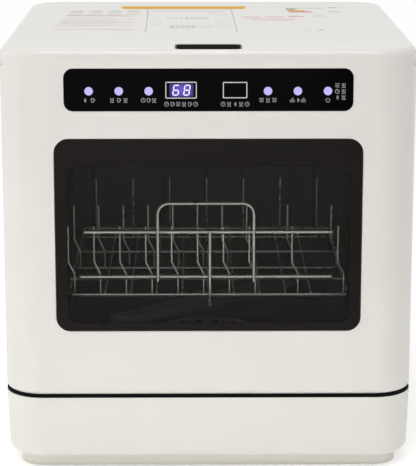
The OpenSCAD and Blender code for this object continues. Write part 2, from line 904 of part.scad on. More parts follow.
module main_board() {
    x0 = circuit_in - body_w / 2;
    y0 = circuit_y;
    low = base_floor + circuit_up;
    top = low + circuit_t;
    post_in = 5;
    color(board_green) span([x0, y0, low], [x0 + circuit_w, y0 + circuit_d, top]);
    color(black_plastic) {
        for (px = [post_in, circuit_w - post_in], py = [post_in, circuit_d - post_in])
            rod_z(3, x0 + px, y0 + py, base_floor, low);
        for (k = [0:3])
            span([x0 + 12 + k * circuit_w / 5, y0 + 20, top],
                 [x0 + 26 + k * circuit_w / 5, y0 + 40, top + 12.4]);
        span([x0 + 15, y0 + 55, top], [x0 + 55, y0 + 78, top + 18.4]);
    }
}

// Appliance socket: a black frame with a recess and three flat pins
module power_inlet() {
    face_y = back_y - 1.5;
    color(black_plastic)
    difference() {
        union() {
            span([power_x - power_half_w, face_y - 20, pump_z - power_half_h],
                 [power_x + power_half_w, face_y, pump_z + power_half_h]);
            span([power_x - power_half_w - 3, face_y - 20, pump_z - power_half_h - 3],
                 [power_x + power_half_w + 3, back_y - base_wall - 2.5, pump_z + power_half_h + 3]);
        }
        span([power_x - 12, face_y - 16, pump_z - 8], [power_x + 12, face_y + cut_over, pump_z + 8]);
    }
    color(steel)
    for (k = [-1, 0, 1])
        span([power_x + k * 7 - 1, face_y - 17, pump_z - 2 + (k == 0 ? 3 : -2)],
             [power_x + k * 7 + 1, face_y - 6, pump_z + 2 + (k == 0 ? 3 : -2)]);
}

// Slots through which the fan draws damp air out of the tub
module fan_slots(z0, z1) {
    half_len = 14;
    half_w = 1.25;
    pitch = 6;
    for (row = [-2:2])
        span([fan_x - half_len, fan_y - half_w + row * pitch, z0],
             [fan_x + half_len, fan_y + half_w + row * pitch, z1]);
}

module fan_housing() {
    housing_r = fan_r + 6;
    color(black_plastic)
    difference() {
        rod_z(housing_r, fan_x, fan_y, roof_z, roof_z + fan_h);
        rod_z(housing_r - 2, fan_x, fan_y, roof_z + 2, roof_z + fan_h - 2);
        rod_z(22, fan_x, fan_y, roof_z + fan_h - 3, roof_z + fan_h + cut_over);
        fan_slots(roof_z - 1, roof_z + 3);
    }
}

module fan_wheel() {
    low = roof_z + 5;
    color("gray") {
        rod_z(fan_r, fan_x, fan_y, low, low + 1.5);
        rod_z(8, fan_x, fan_y, low, low + 12);
        for (k = [0:23])
            rotate_about(fan_x, fan_y, k * 15)
                span([fan_x + fan_r - 10, fan_y - 0.6, low + 1],
                     [fan_x + fan_r - 1, fan_y + 0.6, low + 16]);
        rod_z(2, fan_x, fan_y, low + 11, roof_z + fan_h + 8);
    }
}

module fan_motor() {
    low = roof_z + fan_h + 4;
    color(steel)
    difference() {
        rod_z(17, fan_x, fan_y, low, low + 20);
        rod_z(2 + run_clear, fan_x, fan_y, low - cut_over, low + 6);
    }
    color(steel)
    for (k = [0:2])
        rotate_about(fan_x, fan_y, k * 120 + 30)
            span([fan_x + 15, fan_y - 3, roof_z + fan_h], [fan_x + 32, fan_y + 3, low + 3]);
}

// ---- Hinge and latch ----

module hinge_arm(side) {
    foot_y0 = tub_y0 + 3;
    foot_y1 = foot_y0 + arm_foot_len;
    color(steel)
    translate([side * arm_x, 0, 0])
    difference() {
        union() {
            rod_x(arm_half_h, -arm_t / 2, arm_t / 2, axis_y, axis_z);
            span([-arm_t / 2, axis_y, axis_z - arm_half_h],
                 [arm_t / 2, foot_y0 + 1, axis_z + arm_half_h]);
            span([-arm_t / 2, foot_y0, base_h], [arm_t / 2, foot_y1, axis_z + arm_rise]);
            span([side > 0 ? 0 : -arm_foot_w, foot_y0, base_h],
                 [side > 0 ? arm_foot_w : 0, foot_y1, base_h + 3]);
        }
        rod_x(hinge_pin_r + run_clear, -arm_t, arm_t, axis_y, axis_z);
        for (k = [0, 1])
            rod_z(2.2, side * 11, foot_y0 + 10 + k * 20, base_h - cut_over, base_h + 4);
    }
}

module hinge_arm_left() { hinge_arm(-1); }
module hinge_arm_right() { hinge_arm(1); }

module hinge_screws() {
    color(steel)
    for (side = [-1, 1], k = [0, 1]) {
        x = side * (arm_x + 11);
        y = tub_y0 + 13 + k * 20;
        rod_z(4, x, y, base_h + 3, base_h + 5.5);
        rod_z(2.1, x, y, base_h, base_h + 3.5);
    }
}

// Open box behind the tub's flange that takes the door's hook
module latch_catch() {
    half = latch_w / 2 + 6;
    color(black_plastic)
    difference() {
        span([-half, tub_y0, latch_z - 12], [half, tub_y0 + 34, latch_z + 17]);
        span([-half + 4, tub_y0 - cut_over, latch_z - 5], [half - 4, tub_y0 + 30, latch_z + 10]);
    }
}

module door_hook() {
    color(black_plastic) {
        span([-latch_w / 2, liner_rear, latch_z - 2],
             [latch_w / 2, liner_rear + 24, latch_z + 3]);
        span([-latch_w / 2, liner_rear + 18, latch_z - 3.5],
             [latch_w / 2, liner_rear + 22, latch_z - 1.9]);
    }
}

// ---- Door ----

// Inside or outside form of the door; the lip over the top is shallower than the sides
module door_form(inset, reach) {
    intersection() {
        casing(inset, door_z + inset, body_h - inset, top_fillet - inset, door_edge_r - inset);
        union() {
            slab(front_y - cut_over, front_y + lip_d - inset, 0, body_h);
            slab(front_y - cut_over, front_y + door_d + reach, 0, ledge_z - inset);
        }
    }
}

// Frame behind an opening in the door's front that carries a flush pane
module pane_frame(w, h, r, t, z) {
    seat_y = front_y + glass_sunk + t + glass_gap;
    frame_w = 3.5;
    difference() {
        upright_plate(w + 2 * frame_w, h + 2 * frame_w, r + frame_w, front_y + 1, seat_y + ledge_t, z);
        upright_plate(w + 2 * glass_gap, h + 2 * glass_gap, r + glass_gap, front_y, seat_y, z);
        upright_plate(w - 2 * ledge_w, h - 2 * ledge_w, max(r - ledge_w, 2), front_y,
                      seat_y + 2 * ledge_t, z);
    }
}

module door_shell() {
    notch_half = arm_t / 2 + arm_side_gap;
    color(shell_white)
    difference() {
        union() {
            difference() {
                door_form(0, 0);
                door_form(skin_t, cut_over);
                upright_plate(window_w + 2 * glass_gap, window_h + 2 * glass_gap, window_r + glass_gap,
                              front_y - cut_over, front_y + 2 * skin_t, window_z);
                upright_plate(panel_w + 2 * glass_gap, panel_h + 2 * glass_gap, panel_r + glass_gap,
                              front_y - cut_over, front_y + 2 * skin_t, panel_z);
            }
            pane_frame(window_w, window_h, window_r, glass_t, window_z);
            pane_frame(panel_w, panel_h, panel_r, panel_t, panel_z);
        }
        for (side = [-1, 1])
            span([side * arm_x - notch_half, axis_y - 7, door_z - cut_over],
                 [side * arm_x + notch_half, front_y + door_d + cut_over, door_z + 2 * skin_t]);
        // The lower wall stops under the liner, clear of the tub's seal as the door swings
        span([-body_w / 2 + skin_t + liner_clear, liner_rear - 1.5, door_z - cut_over],
             [body_w / 2 - skin_t - liner_clear, front_y + door_d + cut_over, door_z + 2 * skin_t]);
        translate([0, 0, body_h - grip_deep - 0.1]) linear_extrude(2 * grip_deep) grip_outline(0);
    }
}

module door_glass() {
    color(smoked_glass)
    upright_plate(window_w, window_h, window_r, front_y + glass_sunk, front_y + glass_sunk + glass_t,
                  window_z);
}

module inner_glass() {
    color(smoked_glass)
    upright_plate(liner_window_w + 12, liner_window_h + 12, 20, liner_rear - liner_t - 3 - 0.1,
                  liner_rear - liner_t - 0.1, liner_window_z);
}

module door_liner() {
    notch_half = arm_t / 2 + arm_side_gap + 2;
    color(black_plastic)
    difference() {
        intersection() {
            casing(skin_t + liner_clear, door_z + skin_t + liner_clear, ledge_z - skin_t - liner_clear,
                   0, door_edge_r - skin_t - liner_clear);
            slab(liner_rear - liner_t, liner_rear, 0, body_h);
        }
        upright_plate(liner_window_w, liner_window_h, 18, liner_rear - 2 * liner_t,
                      liner_rear + cut_over, liner_window_z);
        for (side = [-1, 1])
            span([side * arm_x - notch_half, liner_rear - 2 * liner_t, door_z],
                 [side * arm_x + notch_half, liner_rear + cut_over, axis_z + arm_half_h + 2.5]);
        for (place = liner_screw_places())
            rod_y(1.7, place[0], liner_rear - 2 * liner_t, liner_rear + cut_over, place[1]);
    }
    // Posts that carry the liner on the door's front wall
    color(black_plastic)
    for (place = liner_screw_places())
        difference() {
            rod_y(4, place[0], front_y + skin_t, liner_rear - liner_t, place[1]);
            rod_y(1.6, place[0], front_y + 2 * skin_t, liner_rear - liner_t + cut_over, place[1]);
        }
}

function liner_screw_places() = [
    for (sx = [-1, 1], z = [axis_z + 36, window_z, window_z + window_h / 2 - 6])
        [sx * (window_w / 2 + 8), z]
];

module liner_screws() {
    color(steel)
    for (place = liner_screw_places())
        rod_y(1.55, place[0], liner_rear - 14, liner_rear - 0.3, place[1]);
}

module control_panel() {
    color(black_plastic)
    upright_plate(panel_w, panel_h, panel_r, front_y + glass_sunk, front_y + glass_sunk + panel_t,
                  panel_z);
}

module key_lights() {
    color(key_lilac)
    for (x = key_x)
        rod_y(key_r, x, front_y + glass_sunk - key_t, front_y + glass_sunk, key_z);
}

module control_board() {
    color(board_green)
    span([-board_half, board_y, panel_z - board_half_h],
         [board_half, board_y + circuit_t, panel_z + board_half_h]);
    color(black_plastic) {
        for (x = key_x)
            rod_y(3, x, front_y + glass_sunk + panel_t + 0.3, board_y, key_z);
        for (x = [-27, 26])
            span([x - 15, front_y + glass_sunk + panel_t + 0.3, panel_z - 9],
                 [x + 15, board_y, panel_z + 9]);
        for (x = [6 - board_half, board_half - 6])
            rod_y(3, x, front_y + glass_sunk + panel_t + glass_gap + 0.3, board_y, panel_z - 8);
    }
}

module hinge_bracket(side) {
    inner = arm_t / 2 + arm_side_gap;
    web_z = axis_z + arm_half_h + 3;
    top_z = axis_z + 30;
    color(steel)
    translate([side * arm_x, 0, 0])
    difference() {
        union() {
            for (cheek = [-inner - cheek_t, inner])
                span([cheek, bracket_front, bracket_low], [cheek + cheek_t, bracket_back, top_z]);
            span([-inner - cheek_t, bracket_front, web_z], [inner + cheek_t, bracket_front + 2, top_z]);
        }
        rod_x(hinge_pin_r + pin_fit, -20, 20, axis_y, axis_z);
    }
}

module hinge_bracket_left() { hinge_bracket(-1); }
module hinge_bracket_right() { hinge_bracket(1); }

module hinge_pins() {
    head_t = 1.9;
    color(steel)
    for (side = [-1, 1]) {
        x0 = side * arm_x - bracket_reach;
        rod_x(hinge_pin_r, x0 - 0.5, side * arm_x + bracket_reach + 0.5, axis_y, axis_z);
        rod_x(hinge_pin_r + 1.5, x0 - 0.1 - head_t, x0 - 0.1, axis_y, axis_z);
    }
}

// ---- Rack ----

// Closed wire loop in the level plane, with torus corners
module wire_loop(x0, x1, y0, y1, z, r, bend) {
    for (y = [y0, y1]) rod_x(r, x0 + bend, x1 - bend, y, z);
    for (x = [x0, x1]) rod_y(r, x, y0 + bend, y1 - bend, z);
    corners = [
        [x1 - bend, y1 - bend], [x0 + bend, y1 - bend],
        [x0 + bend, y0 + bend], [x1 - bend, y0 + bend]
    ];
    for (k = [0:3])
        translate([corners[k][0], corners[k][1], z])
            rotate(k * 90)
                rotate_extrude(angle = 90) translate([bend, 0]) circle(r);
}

module rack_base() {
    half = rack_w / 2;
    stay_r = frame_r - 0.3;
    color(wire_silver) {
        wire_loop(-half, half, frame_y0, frame_y1, frame_z, frame_r, frame_bend);
        for (k = [-rack_bars:rack_bars])
            rod_y(tine_r, k * tine_pitch, frame_y0 - 1, frame_y1 + 1, cross_z);
        for (y = [frame_y0 + stay_in, (middle_row_y + rear_row_y) / 2, frame_y1 - stay_in / 2])
            rod_x(stay_r, -half - 1, half + 1, y, cross_z + tine_r + stay_r - weld);
    }
}

// Upright wire with a sideways kink, as a straight top, a slanted middle and a straight foot
module kinked_tine(x, y, low) {
    slant = norm([jog_x, jog_rise]);
    rod_z(tine_r, x, y, jog_top, tine_top);
    rod_z(tine_r, x + jog_x, y, low, jog_low);
    translate([x + jog_x, y, jog_low])
        rotate([0, -atan2(jog_x, jog_rise), 0])
            cylinder(r = tine_r - 0.05, h = slant);
    for (end = [[x, jog_top], [x + jog_x, jog_low], [x, tine_top]])
        translate([end[0], y, end[1]]) sphere(tine_r + 0.1);
}

// Row of kinked wires on a cross wire at height low
module kinked_row(y, low) {
    for (x = tine_xs)
        kinked_tine(x, y, low);
    rod_x(tine_r + 0.1, tine_xs[0] + jog_x - 3, tine_xs[len(tine_xs) - 1] + jog_x + 3, y, low);
}

module rack_front_tines() {
    color(wire_silver) kinked_row(tine_y, tine_low);
}

module rack_middle_tines() {
    color(wire_silver) kinked_row(middle_row_y, row_z);
}

module rack_rear_tines() {
    half = rear_bars * rear_pitch + 12;
    color(wire_silver) {
        for (k = [-rear_bars:rear_bars]) {
            rod_z(tine_r, k * rear_pitch, rear_row_y, row_z, tine_top);
            translate([k * rear_pitch, rear_row_y, tine_top]) sphere(tine_r + 0.1);
        }
        rod_x(tine_r + 0.1, -half, half, rear_row_y, row_z);
    }
}

// Two rails, the inverted U handle and the middle stem, welded in front of the tines
module rack_front_guard() {
    color(wire_silver) {
        for (rail = [[guard_mid, -guard_half], [guard_low, -guard_half - guard_low_more]]) {
            rod_x(rail_r, rail[1], guard_half, rail_y, rail[0]);
            for (x = [rail[1], guard_half])
                translate([x, rail_y, rail[0]]) sphere(rail_r + 0.05);
        }
        translate([handle_x, handle_y, 0]) {
            for (side = [-1, 1])
                rod_z(handle_r, side * handle_half, 0, handle_low, handle_top - handle_bend);
            rod_x(handle_r, handle_bend - handle_half, handle_half - handle_bend, 0, handle_top);
            for (k = [0, 1])
                translate([(1 - 2 * k) * (handle_half - handle_bend), 0, handle_top - handle_bend])
                    rotate([90, 0, 0]) rotate(k * 90)
                        rotate_extrude(angle = 90) translate([handle_bend, 0]) circle(handle_r);
        }
        rod_z(handle_r, stem_x, handle_y, stem_low, guard_mid + rail_r);
    }
}

base_housing();
plinth_ring();
rubber_feet();
base_deck();
seam_strip();
front_sill();
cabinet_shell();
rear_panel();
rear_screws();
top_cover();
grip_pocket();
tub();
tub_gasket();
rack_runner_left();
rack_runner_right();
interior_lamp();
sump();
flat_filter();
filter_cup();
spray_feed();
spray_arm();
felt_pads();
wash_pump();
sump_hose();
drain_pump();
drain_hose();
drain_spigot();
inlet_spigot();
inlet_valve();
inlet_hose();
air_break();
main_board();
power_inlet();
fan_housing();
fan_wheel();
fan_motor();
hinge_arm_left();
hinge_arm_right();
hinge_screws();
latch_catch();
door_shell();
door_glass();
inner_glass();
door_liner();
liner_screws();
control_panel();
key_lights();
control_board();
door_grip();
door_hook();
hinge_bracket_left();
hinge_bracket_right();
hinge_pins();
rack_base();
rack_front_tines();
rack_middle_tines();
rack_rear_tines();
rack_front_guard();
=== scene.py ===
# %% [markdown]
# # A countertop dishwasher, dressed
# The solids come packed from the CAD model, in metres, with +Z up and the door towards -Y. This
# notebook gives every solid its finish and adds what only the eye needs: lit digits, printed
# symbols, screw heads, a ribbed seal. Nothing here moves or reshapes a solid, because the same
# solids are what the motion model collides with.

# %% Load the frame
import json
import math

import bmesh
import bpy
from mathutils import Matrix, Vector


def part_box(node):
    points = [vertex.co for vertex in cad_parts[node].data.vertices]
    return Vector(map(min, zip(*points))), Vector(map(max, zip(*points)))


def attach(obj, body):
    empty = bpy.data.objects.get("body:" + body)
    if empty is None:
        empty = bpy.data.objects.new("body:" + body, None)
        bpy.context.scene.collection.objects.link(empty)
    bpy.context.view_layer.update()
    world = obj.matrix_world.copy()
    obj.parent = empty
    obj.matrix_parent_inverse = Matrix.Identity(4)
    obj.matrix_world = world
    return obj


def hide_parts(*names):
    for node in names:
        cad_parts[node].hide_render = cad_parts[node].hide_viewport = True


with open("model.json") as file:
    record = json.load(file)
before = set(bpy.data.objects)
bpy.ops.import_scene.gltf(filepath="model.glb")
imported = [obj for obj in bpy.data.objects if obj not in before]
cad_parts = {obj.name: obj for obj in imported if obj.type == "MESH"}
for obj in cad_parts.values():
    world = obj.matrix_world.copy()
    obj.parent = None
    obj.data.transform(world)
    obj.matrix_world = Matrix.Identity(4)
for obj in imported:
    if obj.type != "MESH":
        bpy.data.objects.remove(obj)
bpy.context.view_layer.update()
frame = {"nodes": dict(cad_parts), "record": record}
nodes = frame["nodes"]
MM = 0.001

# %% [markdown]
# ## Where things are
# The scene can't read the CAD source, but every place that is needed follows from a solid's own
# box. Asking the frame for it keeps the printed symbols on the panel even if the panel moves.


# %% Places taken from the solids
def box_of(name):
    """Lowest and highest corner of a solid, as vectors in metres."""
    low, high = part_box(name)
    return Vector(low), Vector(high)


panel_low = box_of("control_panel")[0]
key_low, key_high = box_of("key_lights")
rear_low, rear_high = box_of("rear_panel")
panel_face = panel_low.y
top_z = box_of("top_cover")[1].z
key_z = (key_low.z + key_high.z) / 2
print("panel face", round(panel_face, 4), "top", round(top_z, 4), "keys at", round(key_z, 4))


# %% [markdown]
# ## Colour as the eye names it
# Colours are easiest to pick as the 0 to 255 numbers of a picture, but shaders add light in linear
# numbers. One small function turns the first into the second, so the values below stay readable.


# %% From picture numbers to linear ones
def rgb(red, green, blue):
    """A shader colour from three picture numbers between 0 and 255."""

    def linear(value):
        """The linear number of one channel."""
        share = value / 255
        return share / 12.92 if share <= 0.04045 else ((share + 0.055) / 1.055) ** 2.4

    return (linear(red), linear(green), linear(blue), 1.0)


print("warm white is", [round(v, 3) for v in rgb(236, 232, 225)])


# %% [markdown]
# ## Effects that many finishes share
# Moulded plastic, rubber and steel all need the same few things: a slow drift of tone, a fine
# grain, lines left by a brush, dust that gathers low down. Each is a node group, made once, which
# gives out only a mask or a height. The shader that uses it stays in the material.


# %% A helper for building node groups
def new_group(name, inputs, outputs):
    """An empty shader group with its sockets; returns the tree and its two end nodes."""
    tree = bpy.data.node_groups.new(name, "ShaderNodeTree")
    for socket, kind, value in inputs:
        made = tree.interface.new_socket(socket, in_out="INPUT", socket_type=kind)
        if value is not None:
            made.default_value = value
    for socket, kind in outputs:
        tree.interface.new_socket(socket, in_out="OUTPUT", socket_type=kind)
    return tree, tree.nodes.new("NodeGroupInput"), tree.nodes.new("NodeGroupOutput")


def math_node(tree, operation, first, second=None, clamp=False):
    """A Math node; each input is a socket or a plain number."""
    node = tree.nodes.new("ShaderNodeMath")
    node.operation = operation
    node.use_clamp = clamp
    for place, value in enumerate((first, second)):
        if value is None:
            continue
        if isinstance(value, (int, float)):
            node.inputs[place].default_value = value
        else:
            tree.links.new(value, node.inputs[place])
    return node.outputs[0]


def noise(tree, vector, scale, detail=2.0, rough=0.5):
    """A noise texture read at the given coordinates."""
    node = tree.nodes.new("ShaderNodeTexNoise")
    node.inputs["Detail"].default_value = detail
    node.inputs["Roughness"].default_value = rough
    tree.links.new(vector, node.inputs["Vector"])
    if isinstance(scale, (int, float)):
        node.inputs["Scale"].default_value = scale
    else:
        tree.links.new(scale, node.inputs["Scale"])
    return node.outputs["Fac"]


print("helpers ready")

# %% Tone drift: slow clouds and a few small specks
drift, g_in, g_out = new_group(
    "tone_drift",
    [("Vector", "NodeSocketVector", None), ("Cloud Scale", "NodeSocketFloat", 9.0),
     ("Speck Scale", "NodeSocketFloat", 260.0), ("Speck Share", "NodeSocketFloat", 0.3)],
    [("Mask", "NodeSocketFloat")],
)
clouds = noise(drift, g_in.outputs["Vector"], g_in.outputs["Cloud Scale"], 4.0)
specks = noise(drift, g_in.outputs["Vector"], g_in.outputs["Speck Scale"], 2.0)
speck_part = math_node(drift, "MULTIPLY", specks, g_in.outputs["Speck Share"])
cloud_share = math_node(drift, "SUBTRACT", 1.0, g_in.outputs["Speck Share"])
cloud_part = math_node(drift, "MULTIPLY", clouds, cloud_share)
drift.links.new(math_node(drift, "ADD", speck_part, cloud_part, clamp=True), g_out.inputs["Mask"])
print("group", drift.name)

# %% Mould grain: the fine pebbled skin of injection-moulded plastic and rubber
grain, g_in, g_out = new_group(
    "mould_grain",
    [("Vector", "NodeSocketVector", None), ("Grain Scale", "NodeSocketFloat", 900.0)],
    [("Height", "NodeSocketFloat"), ("Mask", "NodeSocketFloat")],
)
cells = grain.nodes.new("ShaderNodeTexVoronoi")
grain.links.new(g_in.outputs["Vector"], cells.inputs["Vector"])
grain.links.new(g_in.outputs["Grain Scale"], cells.inputs["Scale"])
fine = noise(grain, g_in.outputs["Vector"], g_in.outputs["Grain Scale"], 3.0)
grain.links.new(math_node(grain, "ADD", math_node(grain, "MULTIPLY", cells.outputs["Distance"], 0.6), fine),
                g_out.inputs["Height"])
grain.links.new(fine, g_out.inputs["Mask"])
print("group", grain.name)

# %% Brush lines: long thin scratches along one direction of sheet steel or drawn wire
brush, g_in, g_out = new_group(
    "brush_lines",
    [("Vector", "NodeSocketVector", None), ("Stretch", "NodeSocketVector", (4.0, 900.0, 900.0))],
    [("Height", "NodeSocketFloat"), ("Mask", "NodeSocketFloat")],
)
stretched = brush.nodes.new("ShaderNodeVectorMath")
stretched.operation = "MULTIPLY"
brush.links.new(g_in.outputs["Vector"], stretched.inputs[0])
brush.links.new(g_in.outputs["Stretch"], stretched.inputs[1])
lines = noise(brush, stretched.outputs["Vector"], 1.0, 4.0, 0.65)
smudges = noise(brush, g_in.outputs["Vector"], 14.0, 3.0)
brush.links.new(lines, g_out.inputs["Height"])
brush.links.new(math_node(brush, "ADD", math_node(brush, "MULTIPLY", lines, 0.6),
                          math_node(brush, "MULTIPLY", smudges, 0.4), clamp=True), g_out.inputs["Mask"])
print("group", brush.name)

# %% Low dust: 1 close to the worktop, 0 above it, broken up by noise
dust, g_in, g_out = new_group(
    "low_dust",
    [("Vector", "NodeSocketVector", None), ("Dust Height", "NodeSocketFloat", 0.012)],
    [("Mask", "NodeSocketFloat")],
)
split = dust.nodes.new("ShaderNodeSeparateXYZ")
dust.links.new(g_in.outputs["Vector"], split.inputs[0])
height_share = math_node(dust, "DIVIDE", split.outputs["Z"], g_in.outputs["Dust Height"])
fade = math_node(dust, "SUBTRACT", 1.0, height_share, clamp=True)
patches = noise(dust, g_in.outputs["Vector"], 60.0, 5.0, 0.7)
dust.links.new(math_node(dust, "MULTIPLY", fade, patches, clamp=True), g_out.inputs["Mask"])
print("group", dust.name)


# %% [markdown]
# ## One way of making a finish
# Every opaque finish here is the same sentence with other words: a colour that drifts a little to
# a second colour, a roughness that drifts with it, and a bump that is the real surface's grain.
# A function says that sentence; the numbers that are the same all over go straight on the shader.


# %% The finish maker
def place_group(tree, group, vector, values):
    """Puts a shared group into a material with its own values."""
    node = tree.nodes.new("ShaderNodeGroup")
    node.node_tree = group
    tree.links.new(vector, node.inputs["Vector"])
    for socket, value in values.items():
        node.inputs[socket].default_value = value
    return node


def between(tree, mask, low, high):
    """A number that runs from low to high as the mask runs from 0 to 1."""
    node = tree.nodes.new("ShaderNodeMapRange")
    tree.links.new(mask, node.inputs["Value"])
    node.inputs["To Min"].default_value = low
    node.inputs["To Max"].default_value = high
    return node.outputs["Result"]


def blend_colours(tree, mask, first, second):
    """The first colour where the mask is 0 and the second where it is 1; each a socket or a colour."""
    node = tree.nodes.new("ShaderNodeMix")
    node.data_type = "RGBA"
    tree.links.new(mask, node.inputs["Factor"])
    for socket, value in (("A", first), ("B", second)):
        slot = [s for s in node.inputs if s.name == socket and s.type == "RGBA"][0]
        if isinstance(value, tuple):
            slot.default_value = value
        else:
            tree.links.new(value, slot)
    return [s for s in node.outputs if s.type == "RGBA"][0]


def bump(tree, height, distance, strength=1.0):
    """A normal bumped by a height that is in shares of the distance, in metres."""
    node = tree.nodes.new("ShaderNodeBump")
    node.inputs["Strength"].default_value = strength
    node.inputs["Distance"].default_value = distance
    tree.links.new(height, node.inputs["Height"])
    return node.outputs["Normal"]


def new_material(name):
    """A material with its shader; returns the material, its tree, the shader and object coordinates."""
    material = bpy.data.materials.new(name)
    material.use_nodes = True
    tree = material.node_tree
    shader = tree.nodes["Principled BSDF"]
    place = tree.nodes.new("ShaderNodeTexCoord").outputs["Object"]
    return material, tree, shader, place


def finish(name, colour, second, rough, grain_scale, grain_depth, metal=0.0, specular=0.5, coat=0.0,
           cloud_scale=9.0, dusty=None):
    """Moulded or painted finish: drifting tone, drifting roughness and a grain."""
    material, tree, shader, place = new_material(name)
    tone = place_group(tree, drift, place, {"Cloud Scale": cloud_scale})
    skin = place_group(tree, grain, place, {"Grain Scale": grain_scale})
    base = blend_colours(tree, tone.outputs["Mask"], colour, second)
    if dusty is not None:
        low = place_group(tree, dust, place, {"Dust Height": dusty})
        base = blend_colours(tree, low.outputs["Mask"], base, rgb(176, 168, 152))
    tree.links.new(base, shader.inputs["Base Color"])
    tree.links.new(between(tree, tone.outputs["Mask"], rough[0], rough[1]), shader.inputs["Roughness"])
    tree.links.new(bump(tree, skin.outputs["Height"], grain_depth), shader.inputs["Normal"])
    shader.inputs["Metallic"].default_value = metal
    shader.inputs["Specular IOR Level"].default_value = specular
    shader.inputs["Coat Weight"].default_value = coat
    shader.inputs["Coat Roughness"].default_value = 0.12
    return material


def brushed(name, colour, second, rough, stretch, depth, metal=1.0):
    """Sheet steel or drawn wire with lines along one direction."""
    material, tree, shader, place = new_material(name)
    worked = place_group(tree, brush, place, {"Stretch": stretch})
    tree.links.new(blend_colours(tree, worked.outputs["Mask"], colour, second), shader.inputs["Base Color"])
    tree.links.new(between(tree, worked.outputs["Mask"], rough[0], rough[1]), shader.inputs["Roughness"])
    tree.links.new(bump(tree, worked.outputs["Height"], depth), shader.inputs["Normal"])
    shader.inputs["Metallic"].default_value = metal
    return material


print("finish makers ready")

# %% [markdown]
# ## The white casings
# The real casings are gloss-sprayed plastic: almost even, with the faint orange peel of the paint
# and a thin clear skin that gives the long soft highlights along the edges. The base is a touch
# warmer than the cabinet, and its plinth is duller and catches dust.

# %% White finishes
shell_white = finish("shell_white", rgb(236, 232, 226), rgb(231, 227, 221), (0.3, 0.38), 420.0, 0.00002,
                     coat=0.25)
base_white = finish("base_white", rgb(237, 234, 227), rgb(232, 229, 221), (0.32, 0.4), 420.0, 0.00002,
                    coat=0.2)
plinth_white = finish("plinth_white", rgb(240, 237, 228), rgb(231, 227, 216), (0.5, 0.62), 700.0, 0.00004,
                      dusty=0.003)
tank_milky = finish("tank_milky", rgb(205, 210, 214), rgb(192, 198, 204), (0.35, 0.5), 500.0, 0.00003)
lamp_milky = finish("lamp_milky", rgb(238, 238, 236), rgb(228, 229, 230), (0.2, 0.3), 600.0, 0.00002)
print("white finishes:", shell_white.name, base_white.name, plinth_white.name)

# %% [markdown]
# ## Dark plastics and rubber
# Black parts are never black: dust and the mould's texture lift them to a dark grey, and the grain
# breaks up their reflections. Rubber is rougher and duller than plastic, and picks up dust low down.

# %% Dark finishes
plastic_black = finish("plastic_black", rgb(22, 22, 22), rgb(31, 30, 29), (0.42, 0.55), 1400.0, 0.00006)
rubber_black = finish("rubber_black", rgb(20, 20, 20), rgb(30, 30, 29), (0.68, 0.85), 1100.0, 0.00006,
                      specular=0.3, dusty=0.01)
# The strip between cabinet and base is a real black band; its near-black, low-gloss finish is painted shade
# of the gap there.
seam_gap_shade = finish("seam_gap_shade", rgb(5, 5, 5), rgb(8, 8, 8), (0.6, 0.75), 1400.0, 0.00006, specular=0.08)
pump_grey = finish("pump_grey", rgb(62, 63, 65), rgb(74, 75, 76), (0.45, 0.6), 1200.0, 0.00006)
hose_grey = finish("hose_grey", rgb(122, 123, 125), rgb(136, 137, 138), (0.6, 0.75), 900.0, 0.00005)
arm_grey = finish("arm_grey", rgb(108, 110, 113), rgb(124, 125, 128), (0.4, 0.55), 1000.0, 0.00005)
felt_grey = finish("felt_grey", rgb(70, 70, 70), rgb(108, 107, 104), (0.9, 1.0), 2600.0, 0.0004, specular=0.1,
                   cloud_scale=60.0)
print("dark finishes:", plastic_black.name, rubber_black.name, pump_grey.name)

# %% [markdown]
# ## Steel
# The rear panel, the filter and the hinges are satin sheet steel, brushed along X. The tub is a
# darker pressed sheet, brushed upwards, and the rack is drawn wire: bright, with lines too fine to
# see that still soften its highlight.

# %% Steel finishes
steel = brushed("satin_steel", rgb(196, 196, 194), rgb(176, 176, 175), (0.26, 0.4), (6.0, 900.0, 900.0),
                0.00003)
tub_steel = brushed("tub_sheet", rgb(62, 59, 56), rgb(50, 48, 46), (0.34, 0.46), (700.0, 700.0, 5.0), 0.00003,
                    metal=0.7)
rack_wire = brushed("drawn_wire", rgb(238, 237, 232), rgb(224, 223, 218), (0.22, 0.34),
                    (60.0, 60.0, 60.0), 0.00001)
print("steel finishes:", steel.name, tub_steel.name, rack_wire.name)

# %% [markdown]
# ## Smoked glass
# The door's pane is thin, so what matters is how much light it lets through and what it mirrors,
# not how it bends light. Alpha does the first, and lets light reach the tub without noise; a low
# specular level does the second. Faint wipe marks live in the roughness.


# %% Glass and the polished panel
def smoked(name, colour, clearness, specular):
    """A thin dark pane: clearness is the share of light that passes."""
    material, tree, shader, place = new_material(name)
    tone = place_group(tree, drift, place, {"Cloud Scale": 5.0, "Speck Share": 0.15})
    shader.inputs["Base Color"].default_value = colour
    tree.links.new(between(tree, tone.outputs["Mask"], 0.03, 0.09), shader.inputs["Roughness"])
    alpha = between(tree, tone.outputs["Mask"], 1.02 - clearness, 0.98 - clearness)
    tree.links.new(alpha, shader.inputs["Alpha"])
    shader.inputs["Specular IOR Level"].default_value = specular
    return material


door_smoke = smoked("door_smoke", rgb(50, 47, 43), 0.82, 0.2)
inner_smoke = smoked("inner_smoke", rgb(16, 15, 14), 0.93, 0.1)
panel_black = finish("panel_black", rgb(2, 2, 3), rgb(5, 5, 6), (0.08, 0.16), 300.0, 0.000004, specular=0.015)
print("panes let through 0.82 and 0.93")
